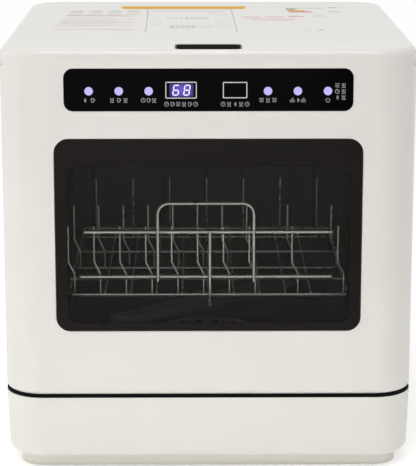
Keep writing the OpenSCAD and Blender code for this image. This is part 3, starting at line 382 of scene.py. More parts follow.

# %% [markdown]
# ## Lit keys and digits
# The keys and digits glow in a cold lilac, with a small-scale noise running between two tints of it.
# The emission strength stays low: at 1 a colour renders about as it is written.


# %% Glow
def glow(name, colour, strength, core=None):
    """A lit plastic; with a core colour the small-scale noise runs between the two."""
    material, tree, shader, place = new_material(name)
    tone = place_group(tree, drift, place, {"Cloud Scale": 240.0, "Speck Scale": 900.0})
    lit = blend_colours(tree, tone.outputs["Mask"], colour, core or colour)
    tree.links.new(lit, shader.inputs["Emission Color"])
    shader.inputs["Emission Strength"].default_value = strength
    shader.inputs["Base Color"].default_value = rgb(60, 58, 70)
    shader.inputs["Roughness"].default_value = 0.3
    return material


key_glow = glow("key_glow", rgb(182, 164, 246), 0.9, rgb(204, 192, 252))
digit_glow = glow("digit_glow", rgb(238, 236, 255), 1.0, rgb(248, 247, 255))
print_pale = finish("print_pale", rgb(178, 178, 180), rgb(164, 164, 168), (0.5, 0.6), 900.0, 0.000004)
frame_print = finish("frame_print", rgb(232, 232, 232), rgb(218, 218, 218), (0.5, 0.6), 900.0, 0.000004)


def haze(name, colour, centre, half):
    """Light that spills round the digits: full at the centre, gone at the plate's edge."""
    material, tree, shader, place = new_material(name)
    centred = tree.nodes.new("ShaderNodeMapping")
    centred.vector_type = "TEXTURE"
    centred.inputs["Location"].default_value = centre
    centred.inputs["Scale"].default_value = half
    tree.links.new(place, centred.inputs["Vector"])
    parts = tree.nodes.new("ShaderNodeSeparateXYZ")
    tree.links.new(centred.outputs["Vector"], parts.inputs[0])
    shares = []
    for axis in ("X", "Z"):
        away = math_node(tree, "ABSOLUTE", parts.outputs[axis])
        shares.append(math_node(tree, "SUBTRACT", 1.0, math_node(tree, "POWER", away, 3.5), clamp=True))
    share = math_node(tree, "MULTIPLY", shares[0], shares[1], clamp=True)
    tree.links.new(blend_colours(tree, share, rgb(6, 6, 8), colour), shader.inputs["Emission Color"])
    shader.inputs["Emission Strength"].default_value = 0.9
    shader.inputs["Base Color"].default_value = rgb(6, 6, 8)
    shader.inputs["Specular IOR Level"].default_value = 0.08
    tree.links.new(between(tree, share, 0.1, 0.2), shader.inputs["Roughness"])
    return material


display_z = panel_low.z + 21.0 * MM
LIT_X = -26.8 * MM
HAZE_HALF_X, HAZE_HALF_Z = 12.4 * MM, 7.4 * MM
digit_haze = haze("digit_haze", rgb(104, 84, 202), (LIT_X, 0, display_z), (HAZE_HALF_X, 1, HAZE_HALF_Z))
print("glow at 0.9 and 1.0")

# %% [markdown]
# ## The circuit boards
# A board is green lacquer over copper tracks. A brick pattern of narrow lines, broken by noise,
# reads as tracks from any distance at which a board can be seen here.

# %% Board finish
board_green, tree, shader, place = new_material("board_green")
tracks = tree.nodes.new("ShaderNodeTexBrick")
tree.links.new(place, tracks.inputs["Vector"])
tracks.inputs["Scale"].default_value = 90.0
tracks.inputs["Mortar Size"].default_value = 0.035
tracks.inputs["Color1"].default_value = rgb(24, 88, 48)
tracks.inputs["Color2"].default_value = rgb(30, 98, 56)
tracks.inputs["Mortar"].default_value = rgb(78, 142, 84)
tree.links.new(tracks.outputs["Color"], shader.inputs["Base Color"])
skin = place_group(tree, grain, place, {"Grain Scale": 700.0})
tree.links.new(between(tree, skin.outputs["Mask"], 0.3, 0.45), shader.inputs["Roughness"])
tree.links.new(bump(tree, tracks.outputs["Fac"], 0.00005), shader.inputs["Normal"])
print("board finish with tracks")

# %% [markdown]
# ## Finishes onto solids
# The imported record already says which slot each solid takes its finish from, so one table from
# slot to finish dresses them all. The inner pane differs from its slot's finish, and the seam strip
# gets a near-black that is painted shade of the gap between cabinet and base, so both are named.

# %% Dress every solid
FINISH_OF_SLOT = {
    "shell_white": shell_white, "base_white": base_white, "plinth_white": plinth_white,
    "rubber_black": rubber_black, "plastic_black": plastic_black, "steel": steel, "tub_steel": tub_steel,
    "smoked_glass": door_smoke, "panel_black": panel_black, "key_lilac": key_glow,
    "board_green": board_green, "pump_grey": pump_grey, "hose_grey": hose_grey, "tank_clear": tank_milky,
    "arm_grey": arm_grey, "lamp_white": lamp_milky, "felt_grey": felt_grey, "rack_wire": rack_wire,
}


def dress(name, material):
    """Gives a solid its finish."""
    for slot in nodes[name].material_slots:
        slot.material = material


for part in frame["record"]["subparts"]:
    dress(part["node"], FINISH_OF_SLOT[part["material_slot"]])
dress("inner_glass", inner_smoke)
# The seam strip's near-black finish is painted shade of the gap between cabinet and base.
dress("seam_strip", seam_gap_shade)


# %% [markdown]
# ## Flat shapes on the panel and on the top
# Prints and digits are thin plates. Each is a list of flat outlines, given a small thickness so
# that it is a closed form with its own edge, and laid on the face that carries it. On the panel an
# outline's two numbers are X and Z, and on the top they are X and Y.


# %% Plates from outlines
def walls(mesh, low, high):
    """Quads between two rings of the same number of points."""
    for k in range(len(low)):
        after = (k + 1) % len(low)
        mesh.faces.new((low[k], low[after], high[after], high[k]))


def linked(name, data):
    """A new object of the scene that shows the mesh."""
    made = bpy.data.objects.new(name, data)
    bpy.context.scene.collection.objects.link(made)
    return made


def plates(name, outlines, thickness, material, body, on_panel=True, at=0.0):
    """One piece of many thin closed plates; at is the carrying face's Y or Z."""
    mesh = bmesh.new()
    for outline in outlines:
        rings = []
        for lift in (0.0, thickness):
            if on_panel:
                ring = [mesh.verts.new((a, at - lift, b)) for a, b in outline]
            else:
                ring = [mesh.verts.new((a, b, at + lift)) for a, b in outline]
            rings.append(ring)
        mesh.faces.new(rings[1])
        mesh.faces.new(reversed(rings[0]))
        walls(mesh, rings[0], rings[1])
    bmesh.ops.recalc_face_normals(mesh, faces=mesh.faces)
    data = bpy.data.meshes.new(name)
    mesh.to_mesh(data)
    mesh.free()
    piece = linked(name, data)
    data.materials.append(material)
    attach(piece, body)
    return piece


def bar(x0, y0, x1, y1):
    """A rectangle outline from two corners."""
    return [(x0, y0), (x1, y0), (x1, y1), (x0, y1)]


def stroke(a, b, width):
    """A straight line of the given width as an outline."""
    run = Vector(b) - Vector(a)
    side = Vector((-run.y, run.x)).normalized() * width / 2
    start, end = Vector(a), Vector(b)
    return [tuple(start + side), tuple(start - side), tuple(end - side), tuple(end + side)]


def path_of(points, width, closed=False):
    """Strokes along a list of points."""
    ends = list(zip(points, points[1:] + points[:1] if closed else points[1:]))
    return [stroke(a, b, width) for a, b in ends if (Vector(a) - Vector(b)).length > 1e-7]


def arc(x, y, radius, start, end, steps):
    """Points along an arc, angles in degrees."""
    angles = [math.radians(start + (end - start) * k / steps) for k in range(steps + 1)]
    return [(x + radius * math.cos(a), y + radius * math.sin(a)) for a in angles]


print("outline helpers ready")

# %% [markdown]
# ## Two displays
# The left display is lit and shows a two-digit number of minutes, in the seven straight segments
# that such displays have. The right one is dark, with only its frame. Each digit is drawn from a
# table that says which segments are lit.

# %% Displays
SEGMENTS = {"6": "acdefg", "8": "abcdefg"}
DIGIT_W, DIGIT_H, SEGMENT_T = 5.2 * MM, 9.8 * MM, 1.2 * MM
DIGIT_PITCH = 10.8 * MM
DIGIT_SLANT = 0.15
FRAME_LINE = 0.85 * MM


def segment_outlines(digit, x, z):
    """Outlines of a digit's lit segments, centred on x, z, with a small slant."""
    w, h, t = DIGIT_W / 2, DIGIT_H / 2, SEGMENT_T / 2
    lines = {
        "a": ((-w, h), (w, h)), "g": ((-w, 0), (w, 0)), "d": ((-w, -h), (w, -h)),
        "f": ((-w, 0), (-w, h)), "b": ((w, 0), (w, h)), "e": ((-w, -h), (-w, 0)), "c": ((w, -h), (w, 0)),
    }
    made = []
    for letter in SEGMENTS[digit]:
        (x0, z0), (x1, z1) = lines[letter]
        run = Vector((x1 - x0, z1 - z0)).normalized() * t * 1.15
        side = Vector((-run.y, run.x)).normalized() * t
        a, b = Vector((x0, z0)) + run * 0.2, Vector((x1, z1)) - run * 0.2
        shape = [a, a + run - side, b - run - side, b, b - run + side, a + run + side]
        made.append([(x + p.x + p.y * DIGIT_SLANT, z + p.y) for p in shape])
    return made


left_x, right_x = -27.2 * MM, 26.3 * MM
digits = (segment_outlines("6", LIT_X - DIGIT_PITCH / 2, display_z)
          + segment_outlines("8", LIT_X + DIGIT_PITCH / 2, display_z))
plates("display_digits", digits, 0.06 * MM, digit_glow, "door", at=panel_face)


def frame_outline(x, z, w, h):
    """The closed line round a display."""
    return path_of(bar(x - w / 2, z - h / 2, x + w / 2, z + h / 2), FRAME_LINE, closed=True)


frames = (frame_outline(left_x, display_z, 30.1 * MM, 15.9 * MM)
          + frame_outline(right_x, display_z, 23.3 * MM, 15.4 * MM))
plates("display_frames", frames, 0.05 * MM, frame_print, "door", at=panel_face)

corners = bar(LIT_X - HAZE_HALF_X, display_z - HAZE_HALF_Z, LIT_X + HAZE_HALF_X, display_z + HAZE_HALF_Z)
plates("display_backlight", [corners], 0.02 * MM, digit_haze, "door", at=panel_face)
print("displays at", left_x, right_x)

# %% [markdown]
# ## Symbols under the keys
# Words would tie the part to one language and one maker, so each key and display gets a short row
# of plain symbols of its job: leaves, sprays, clocks, drying waves, berries, the on-off ring. A row
# is as wide as such a caption is. The strokes are half a millimetre wide, the finest that prints well.

# %% Symbol shapes
KEY_X = [-118.7 * MM, -88.9 * MM, -59.3 * MM, 58.9 * MM, 88.5 * MM, 118.3 * MM]
THIN = 0.52 * MM


def leaf(x, z):
    """Two arcs that meet in points, with a stalk."""
    return (path_of(arc(x - 1.2 * MM, z, 2.4 * MM, -48, 48, 6), THIN)
            + path_of(arc(x + 2.0 * MM, z, 2.4 * MM, 132, 228, 6), THIN)
            + [stroke((x + 0.4 * MM, z - 2.3 * MM), (x + 0.4 * MM, z + 0.7 * MM), THIN)])


def spray(x, z):
    """Three jets that fan out from a bar."""
    jets = [stroke((x + k * 0.9 * MM, z - 1.2 * MM), (x + k * 1.7 * MM, z + 2.1 * MM), THIN)
            for k in (-1, 0, 1)]
    return jets + [stroke((x - 2 * MM, z - 2.1 * MM), (x + 2 * MM, z - 2.1 * MM), THIN)]


def clock(x, z):
    """A ring with two hands."""
    return path_of(arc(x, z, 2.1 * MM, 0, 360, 14), THIN) + [
        stroke((x, z), (x, z + 1.4 * MM), THIN), stroke((x, z), (x + 1.0 * MM, z), THIN)]


def waves(x, z):
    """Three rows of ripples."""
    rows = []
    for row in (-1.6, 0.0, 1.6):
        points = [(x + (k - 3) * 0.7 * MM, z + row * MM + 0.42 * MM * math.sin(k * math.pi / 2))
                  for k in range(7)]
        rows += path_of(points, THIN)
    return rows


def berries(x, z):
    """A pair of round fruits on one stalk."""
    return (path_of(arc(x - 1.1 * MM, z - 0.9 * MM, 1.15 * MM, 0, 360, 10), THIN)
            + path_of(arc(x + 1.3 * MM, z - 0.9 * MM, 1.15 * MM, 0, 360, 10), THIN)
            + [stroke((x - 1.0 * MM, z + 0.3 * MM), (x + 0.4 * MM, z + 2.3 * MM), THIN),
               stroke((x + 1.2 * MM, z + 0.3 * MM), (x + 0.4 * MM, z + 2.3 * MM), THIN)])


def on_ring(x, z):
    """The on-off ring: an open arc with a stroke in its gap."""
    return path_of(arc(x, z - 0.2 * MM, 2.0 * MM, 125, 415, 14), THIN) + [
        stroke((x, z + 0.2 * MM), (x, z + 2.3 * MM), THIN)]


def cup(x, z):
    """A cup seen from the side, with its ear."""
    return path_of([(x - 1.6 * MM, z + 1.7 * MM), (x - 1.2 * MM, z - 1.9 * MM), (x + 0.8 * MM, z - 1.9 * MM),
                    (x + 1.2 * MM, z + 1.7 * MM)], THIN, closed=True) + path_of(
        arc(x + 1.1 * MM, z + 0.2 * MM, 1.0 * MM, -70, 70, 5), THIN)


def row_of(shapes, x, z, width):
    """Symbols side by side, centred on x; width runs from the first one's edge to the last one's."""
    room = width - 4.2 * MM
    step = room / (len(shapes) - 1) if len(shapes) > 1 else 0.0
    first = x - step * (len(shapes) - 1) / 2
    return [piece for k, shape in enumerate(shapes) for piece in shape(first + k * step, z)]


print("seven plain symbols")

# %% Print them on the panel
SYMBOL_DROP, LABEL_DROP = 9.1 * MM, 14.0 * MM
CAPTIONS = [((leaf, cup), 12.0), ((spray, cup, spray), 17.5), ((clock, cup, spray), 15.0),
            ((waves, spray, waves), 17.0), ((berries, leaf, berries), 15.0), ((on_ring,), 4.2)]
marks = []
for x, (shapes, width) in zip(KEY_X, CAPTIONS):
    marks += row_of(shapes, x, key_z - SYMBOL_DROP, width * MM)
marks += row_of((clock, cup, waves, spray, cup, clock), left_x, display_z - LABEL_DROP, 33 * MM)
marks += row_of((clock, spray, leaf, spray, clock), right_x, display_z - LABEL_DROP, 28 * MM)
for row, shape in enumerate((waves, clock, leaf)):
    marks += row_of((shape, spray), KEY_X[5] + 12.4 * MM, key_z + (5.6 - row * 6.0) * MM, 10.5 * MM)
plates("panel_symbols", marks, 0.03 * MM, print_pale, "door", at=panel_face)
print(len(marks), "strokes printed on the panel")

# %% [markdown]
# ## The printed edge of the window
# The window's pane is glued to a ledge, and on the real one a dark enamel print hides that ledge and
# the glue. The print is wide at the top and narrow at the sides and foot, and round at its inner
# corners. It is a flat band between two rounded loops with the same number of points, so the faces
# between them are plain quads. A thin darker band along its inner edge is painted shade: the shadow
# in the gap round the opening.

# %% Window print and its painted gap shade
enamel = finish("enamel_print", rgb(21, 18, 15), rgb(24, 20, 17), (0.08, 0.16), 500.0, 0.000004,
                specular=0.08)
# Near-black for the thin band along the opening's inner edge: painted shade of the gap there.
gap_shade_paint = finish("gap_shade_paint", rgb(9, 7, 6), rgb(12, 10, 9), (0.1, 0.2), 500.0, 0.000004, specular=0.1)
glass_low, glass_high = box_of("door_glass")
LEDGE_SIDE, LEDGE_TOP, LEDGE_FOOT = 11.2 * MM, 26.8 * MM, 8.0 * MM
GLASS_CORNER, OPENING_CORNER = 12 * MM, 11 * MM


def rounded_loop(x0, z0, x1, z1, radius, steps=10):
    """Points round a rectangle with round corners, starting at the upper right."""
    points = []
    for k, (x, z) in enumerate(((x1 - radius, z1 - radius), (x0 + radius, z1 - radius),
                                (x0 + radius, z0 + radius), (x1 - radius, z0 + radius))):
        points += arc(x, z, radius, 90 * k, 90 * k + 90, steps)
    return points


def band(name, outer, inner, thickness, material):
    """A flat closed band between two loops, laid on the door's pane."""
    count = len(outer)
    quads = [[outer[k], outer[(k + 1) % count], inner[(k + 1) % count], inner[k]] for k in range(count)]
    return plates(name, quads, thickness, material, "door", at=glass_low.y)


edge_in = 0.4 * MM
outer_edge = rounded_loop(glass_low.x + edge_in, glass_low.z + edge_in,
                          glass_high.x - edge_in, glass_high.z - edge_in, GLASS_CORNER - edge_in)
opening = (glass_low.x + LEDGE_SIDE, glass_low.z + LEDGE_FOOT,
           glass_high.x - LEDGE_SIDE, glass_high.z - LEDGE_TOP)
inner_edge = rounded_loop(*opening, OPENING_CORNER)
# The painted shade band runs 1.3 mm in from the print's inner edge.
shade_in = 1.3 * MM
shade_edge = rounded_loop(opening[0] + shade_in, opening[1] + shade_in,
                         opening[2] - shade_in, opening[3] - shade_in, OPENING_CORNER - shade_in)
band("window_print", outer_edge, inner_edge, 0.04 * MM, enamel)
band("window_print_line", inner_edge, shade_edge, 0.03 * MM, gap_shade_paint)
print("window print", [round(v, 4) for v in opening])

# %% [markdown]
# ## The loading guide on the top
# The top carries a small printed guide. Here it is a plain one: a warm heading band, two side
# lines, rows of dish outlines and hairlines. Rows of like marks come from a loop over their places,
# since each mark is only a few strokes.

# %% Print on the top
def ink(name, colour, second, rough=(0.5, 0.6), specular=0.15):
    """A thin matt print."""
    return finish(name, colour, second, rough, 900.0, 0.000004, specular=specular)


ink_grey = ink("ink_grey", rgb(146, 146, 146), rgb(160, 160, 160), (0.45, 0.55), specular=0.5)
ink_dark = ink("ink_dark", rgb(84, 84, 86), rgb(102, 102, 104), specular=0.2)
ink_yellow = ink("ink_yellow", rgb(240, 184, 22), rgb(234, 170, 14))
ink_green = ink("ink_green", rgb(112, 164, 112), rgb(124, 172, 122))
ink_red = ink("ink_red", rgb(220, 128, 124), rgb(212, 138, 134))
HAIR = 0.5 * MM
PRINT_T = 0.03 * MM
COLUMN_X = (-149, -127, -105, -84)


def on_top(name, outlines, material):
    """A print that lies on the top cover."""
    return plates(name, outlines, PRINT_T, material, "cabinet", on_panel=False, at=top_z)


def scaled(points):
    """Points in millimetres as metres."""
    return [(x * MM, y * MM) for x, y in points]


def dish_mark(x, y, size):
    """A deep dish seen from the side: a half round and its rim."""
    edge = stroke(*scaled([(x - size * 1.2, y), (x + size * 1.2, y)]), HAIR)
    return path_of(scaled(arc(x, y, size, 180, 360, 8)), HAIR) + [edge]


def plate_mark(x, y, size):
    """A plate on edge: one long arc."""
    return path_of(scaled(arc(x - size * 2, y, size * 2.3, -26, 26, 5)), HAIR)


heading = [scaled([(-96.5, 134), (44, 134), (47, 161), (-102, 161)])]
on_top("guide_heading", heading, ink_yellow)


def boxes(lines):
    """Bars from a list of corners in millimetres."""
    return [bar(*[v * MM for v in line]) for line in lines]


guide = [stroke(*scaled([(x, 131), (x + 2.5, -79)]), HAIR * 1.7) for x in (-68, 29)]
guide += boxes(((-64, 117, 24, 118.4), (-64, 106, 20, 107.2), (-61, 40, -50, 41), (8, 84, 24, 84.8),
                (8, 74, 24, 74.8), (9, 4, 25, 5.2), (9, -14, 25, -12.8), (9, -34, 25, -32.8),
                (-62, 4, -50, 5), (-62, -14, -50, -13)))
for row, y in enumerate((66, 34, 16, 4, -10, -26)):
    guide += boxes(((-160 - row, y, -82 + 3 * (row % 2), y + 1.2),
                    (-160 - row, y + 5, -96 - 4 * (row % 3), y + 6)))
for x in COLUMN_X:
    guide += boxes(((x - 9, 92, x + 8, 93), (x - 9, 84, x + 7, 85), (x - 8, 76, x + 9, 77)))
guide += boxes(((94, 70, 105, 71.5), (92, 62, 106, 63.2), (122, 76, 134, 77.5), (120, 66, 136, 67.2),
                (121, 58, 134, 59.2), (101, -64, 110, -62)))
on_top("guide_lines", guide, ink_grey)

icons = []
for k in range(5):
    icons += plate_mark(-45.5 + k * 5.2, 48, 8)
    icons += dish_mark(-21 + k * 5.2, 50, 2.3) + dish_mark(-21 + k * 5.2, 40, 2.3)
    icons += plate_mark(-42 + k * 5.6, -33, 13) + plate_mark(-40 + k * 5.6, -33, 13)
for k in range(2):
    icons += path_of(scaled(arc(-8 + k * 9, -33, 3.6, 0, 360, 12)), HAIR) + dish_mark(4 + k * 5, 96, 2.4)
for k, x in enumerate(COLUMN_X):
    icons += path_of(scaled(arc(x, 108, 6 - k % 2, 180, 360, 8)), HAIR * 1.6)
    icons += path_of(scaled(arc(x, 114, 4.5, 0, 180, 6)), HAIR * 1.4) + boxes(((x - 8, 107, x + 8, 109),))
icons += boxes(((92, 139, 107, 143), (109, 140, 138, 142), (143, 146, 154, 149), (141, 104, 155, 107),
                (118, -62, 126, -59)))
on_top("guide_icons", icons, ink_dark)

warm = boxes(((-158, 56, -84, 57.6), (-165, -56, -78, -54), (-159, 74, -86, 75), (38, 52, 62, 56.4),
              (66, 54, 88, 58.4), (92, 57, 110, 61.4), (44, 36, 100, 38.4),
              (50, 28, 98, 29.4), (52, 20, 96, 21.4)))
on_top("guide_accents", warm, ink_red)

# A plain scale of three bands, from short to long
SCALE_BANDS = (("scale_short", 124, 134, 93, 106, ink_green),
               ("scale_middle", 112, 122, 94, 116, ink_yellow),
               ("scale_long", 100, 110, 95, 124, ink_red))
for name, y0, y1, x0, x1, ink in SCALE_BANDS:
    on_top(name, [scaled([(x0, y0), (x1, y0), (x1 - 5, y1), (x0, y1)])], ink)
print(len(guide) + len(icons) + len(warm) + 4, "marks on the top")

# %% [markdown]
# ## Screws, louvres and nozzles by Geometry Nodes
# Eight screws hold the rear panel, twelve hooded slots let the fan breathe and ten slit nozzles
# stand on the spray arm. Each is one small form repeated at known places, so a node tree puts the
# form on points. The tree ends with Realize Instances and Set Material, because an export knows
# only real faces, and the result is then turned into a plain mesh.


# %% The repeating tree
def repeat_tree(name, form, material):
    """A tree that puts a form on every vertex, turned and sized by named inputs."""
    tree = bpy.data.node_groups.new(name, "GeometryNodeTree")
    face = tree.interface
    face.new_socket("Geometry", in_out="INPUT", socket_type="NodeSocketGeometry")
    for socket, value in (("Size", 1.0), ("Turn Spread", 0.0)):
        face.new_socket(socket, in_out="INPUT", socket_type="NodeSocketFloat").default_value = value
    face.new_socket("Seed", in_out="INPUT", socket_type="NodeSocketInt").default_value = 7
    face.new_socket("Geometry", in_out="OUTPUT", socket_type="NodeSocketGeometry")
    start, end = tree.nodes.new("NodeGroupInput"), tree.nodes.new("NodeGroupOutput")
    info = tree.nodes.new("GeometryNodeObjectInfo")
    info.inputs["Object"].default_value = form
    spread = tree.nodes.new("FunctionNodeRandomValue")
    tree.links.new(start.outputs["Turn Spread"], spread.inputs[3])
    tree.links.new(start.outputs["Seed"], spread.inputs["Seed"])
    turn = tree.nodes.new("ShaderNodeCombineXYZ")
    tree.links.new(spread.outputs[1], turn.inputs["Y"])
    place_form = tree.nodes.new("GeometryNodeInstanceOnPoints")
    tree.links.new(start.outputs["Geometry"], place_form.inputs["Points"])
    tree.links.new(info.outputs["Geometry"], place_form.inputs["Instance"])
    tree.links.new(turn.outputs["Vector"], place_form.inputs["Rotation"])
    tree.links.new(start.outputs["Size"], place_form.inputs["Scale"])
    real = tree.nodes.new("GeometryNodeRealizeInstances")
    tree.links.new(place_form.outputs["Instances"], real.inputs["Geometry"])
    paint = tree.nodes.new("GeometryNodeSetMaterial")
    paint.inputs["Material"].default_value = material
    tree.links.new(real.outputs["Geometry"], paint.inputs["Geometry"])
    tree.links.new(paint.outputs["Geometry"], end.inputs["Geometry"])
    return tree


def set_inputs(modifier, values):
    """Sets a modifier's inputs by their shown names."""
    for item in modifier.node_group.interface.items_tree:
        if item.item_type == "SOCKET" and item.in_out == "INPUT" and item.name in values:
            modifier[item.identifier] = values[item.name]


def settle(source, tree, values, name, body):
    """Runs a tree on a source object and keeps the result as a plain piece that rides a body."""
    modifier = source.modifiers.new("repeat", "NODES")
    modifier.node_group = tree
    set_inputs(modifier, values)
    graph = bpy.context.evaluated_depsgraph_get()
    data = bpy.data.meshes.new_from_object(source.evaluated_get(graph), depsgraph=graph)
    source.modifiers.remove(modifier)
    data.name = name
    piece = linked(name, data)
    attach(piece, body)
    return piece


def points_object(name, places):
    """A mesh of bare points."""
    data = bpy.data.meshes.new(name)
    data.from_pydata([tuple(p) for p in places], [], [])
    return linked(name, data)


def form_object(name, mesh):
    """A helper form at the origin, made from a bmesh."""
    bmesh.ops.recalc_face_normals(mesh, faces=mesh.faces)
    data = bpy.data.meshes.new(name)
    mesh.to_mesh(data)
    mesh.free()
    for polygon in data.polygons:
        polygon.use_smooth = len(polygon.vertices) == 4
    return linked(name, data)


def drop(*helpers):
    """Takes the helper objects out again."""
    for helper in helpers:
        bpy.data.objects.remove(helper, do_unlink=True)


print("repeating tree ready")

# %% [markdown]
# A screw head is a low dome with a cross let into it. The dome is a profile turned about the
# screw's axis; the cross is an outline that the top's inner ring is filled up to, then sunk.


# %% Rear screws
def screw_head(radius, height, arm, width, sink):
    """A domed head with a cross recess; its axis is +Y and its seat is at Y = 0."""
    mesh = bmesh.new()
    steps = 24
    profile = [(radius, 0.0), (radius, height * 0.45), (radius * 0.86, height * 0.82), (radius * 0.6, height)]
    rings = [[mesh.verts.new((r * math.cos(a), y, r * math.sin(a))) for a in
              (2 * math.pi * k / steps for k in range(steps))] for r, y in profile]
    for low, high in zip(rings, rings[1:]):
        walls(mesh, low, high)
    mesh.faces.new(rings[0])
    w = width / 2
    quarter = [(arm, -w), (arm, w), (w, w)]
    cross = []
    for k in range(4):
        c, s = round(math.cos(k * math.pi / 2)), round(math.sin(k * math.pi / 2))
        cross += [(x * c - z * s, x * s + z * c) for x, z in quarter]
    upper = [mesh.verts.new((x, height, z)) for x, z in cross]
    lower = [mesh.verts.new((x * 0.8, height - sink, z * 0.8)) for x, z in cross]
    edges = [mesh.edges.get((a, b)) or mesh.edges.new((a, b)) for ring in (rings[-1], upper)
             for a, b in zip(ring, ring[1:] + ring[:1])]
    bmesh.ops.triangle_fill(mesh, edges=edges, use_beauty=True)
    inside = [f for f in mesh.faces if len(f.verts) == 3 and all(v in upper for v in f.verts)]
    bmesh.ops.delete(mesh, geom=inside, context="FACES_ONLY")
    walls(mesh, upper, lower)
    mesh.faces.new(lower)
    return mesh


SCREW_INSET = 5.7 * MM
seat = rear_high.y
mid_z = (rear_low.z + rear_high.z) / 2
screw_rows = (rear_low.z + SCREW_INSET, rear_high.z - SCREW_INSET)
side_columns = (rear_low.x + SCREW_INSET, rear_high.x - SCREW_INSET)
screw_places = [(x, seat, z) for x in (side_columns[0], 0, side_columns[1]) for z in screw_rows]
screw_places += [(x, seat, mid_z) for x in side_columns]
head_form = form_object("head_form", screw_head(3.2 * MM, 1.8 * MM, 1.7 * MM, 0.7 * MM, 0.9 * MM))
screw_points = points_object("screw_points", screw_places)
rear_heads = settle(screw_points, repeat_tree("repeat_screws", head_form, steel),
                    {"Turn Spread": 1.5, "Seed": 11}, "rear_screw_heads", "cabinet")
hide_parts("rear_screws")
drop(head_form, screw_points)
print(len(screw_places), "screw heads,", len(rear_heads.data.polygons), "faces")

# %% [markdown]
# The vent slots get pressed hoods, so that water running down the back stays out. A hood is a
# quarter-round scoop over its slot: three short strips of sheet with closed ends.


# %% Louvre hoods
def hood(length, reach, height, sheet):
    """A pressed scoop, open below, that stands off the panel towards +Y."""
    mesh = bmesh.new()
    steps = 5
    angles = [math.pi / 2 * k / steps for k in range(steps + 1)]
    outer = [(reach * math.cos(a), height * math.sin(a)) for a in angles]
    inner = [((reach - sheet) * math.cos(a), (height - sheet) * math.sin(a)) for a in angles]
    outline = outer + inner[::-1]
    ends = [[mesh.verts.new((x, y, z)) for y, z in outline] for x in (-length / 2, length / 2)]
    count = len(outline)
    walls(mesh, ends[0], ends[1])
    for end in ends:
        for k in range(steps):
            mesh.faces.new((end[k], end[k + 1], end[count - 2 - k], end[count - 1 - k]))
    for x in (-length / 2, length / 2 - sheet):
        cap = [[mesh.verts.new((x + shift, y, z)) for y, z in inner + [(0.0, 0.0)]]
               for shift in (0.0, sheet)]
        mesh.faces.new(cap[0])
        mesh.faces.new(cap[1])
        walls(mesh, cap[0], cap[1])
    return mesh


SLOT_X, SLOT_LEN, SLOT_PITCH, SLOT_COUNT = 90 * MM, 90 * MM, 7 * MM, 12
first_slot = mid_z + 65 * MM
hood_form = form_object("hood_form", hood(SLOT_LEN + 5 * MM, 2.4 * MM, 3.4 * MM, 0.5 * MM))
hood_places = [(SLOT_X, seat, first_slot + 0.6 * MM + k * SLOT_PITCH) for k in range(SLOT_COUNT)]
hood_points = points_object("hood_points", hood_places)
hoods = settle(hood_points, repeat_tree("repeat_hoods", hood_form, steel), {}, "louvre_hoods", "cabinet")
drop(hood_form, hood_points)
print(SLOT_COUNT, "hoods,", len(hoods.data.polygons), "faces")

# %% [markdown]
# Round every slit of the spray arm the mould leaves a raised rim. The slits lie on both halves of
# the arm, which rests at an angle, so their places are turned about its hub.


# %% Nozzle rims
def rim(length, width, wall, height):
    """A raised oblong ring, level, with its foot at Z = 0."""
    mesh = bmesh.new()
    half = (length - width) / 2

    def outline(extra, z):
        """A ring of points, extra wider than the slit, at a height."""
        reach = width / 2 + extra
        points = []
        for side in (0, 1):
            centre = half if side == 0 else -half
            for k in range(7):
                a = math.radians(-90 + 180 * side + 180 * k / 6)
                points.append(mesh.verts.new((centre + reach * math.cos(a), reach * math.sin(a), z)))
        return points

    loops = [outline(0.0, 0.0), outline(wall, 0.0), outline(wall * 0.7, height), outline(wall * 0.2, height)]
    for a, b in zip(loops, loops[1:] + loops[:1]):
        walls(mesh, a, b)
    return mesh


arm_low, arm_high = box_of("spray_arm")
hub = Vector(((arm_low.x + arm_high.x) / 2, (arm_low.y + arm_high.y) / 2))
REST_ANGLE = math.radians(40.2)
ARM_TOP = arm_high.z - 3 * MM
rim_places = []
for end in (0, 1):
    for k in range(5):
        along, across = (43 + 20 * k) * MM, (3 * (k % 2)) * MM
        angle = REST_ANGLE + math.pi * end
        rim_places.append((hub.x + along * math.cos(angle) - across * math.sin(angle),
                           hub.y + along * math.sin(angle) + across * math.cos(angle), ARM_TOP))
rim_mesh = rim(7.5 * MM, 3.2 * MM, 0.9 * MM, 0.7 * MM)
bmesh.ops.rotate(rim_mesh, verts=rim_mesh.verts, cent=(0, 0, 0),
                 matrix=Matrix.Rotation(REST_ANGLE, 3, "Z"))
rim_form = form_object("rim_form", rim_mesh)
rim_points = points_object("rim_points", rim_places)
settle(rim_points, repeat_tree("repeat_rims", rim_form, arm_grey), {}, "nozzle_rims", "spray_arm")
drop(rim_form, rim_points)
print(len(rim_places), "nozzle rims")

# %% [markdown]
# ## The door seal
# The real seal is a rubber strip with three soft ribs that runs round the tub's mouth. A profile
# carried along a rounded loop is just what Curve to Mesh does, so the loop and the profile are
# drawn as lines and the tree joins them.


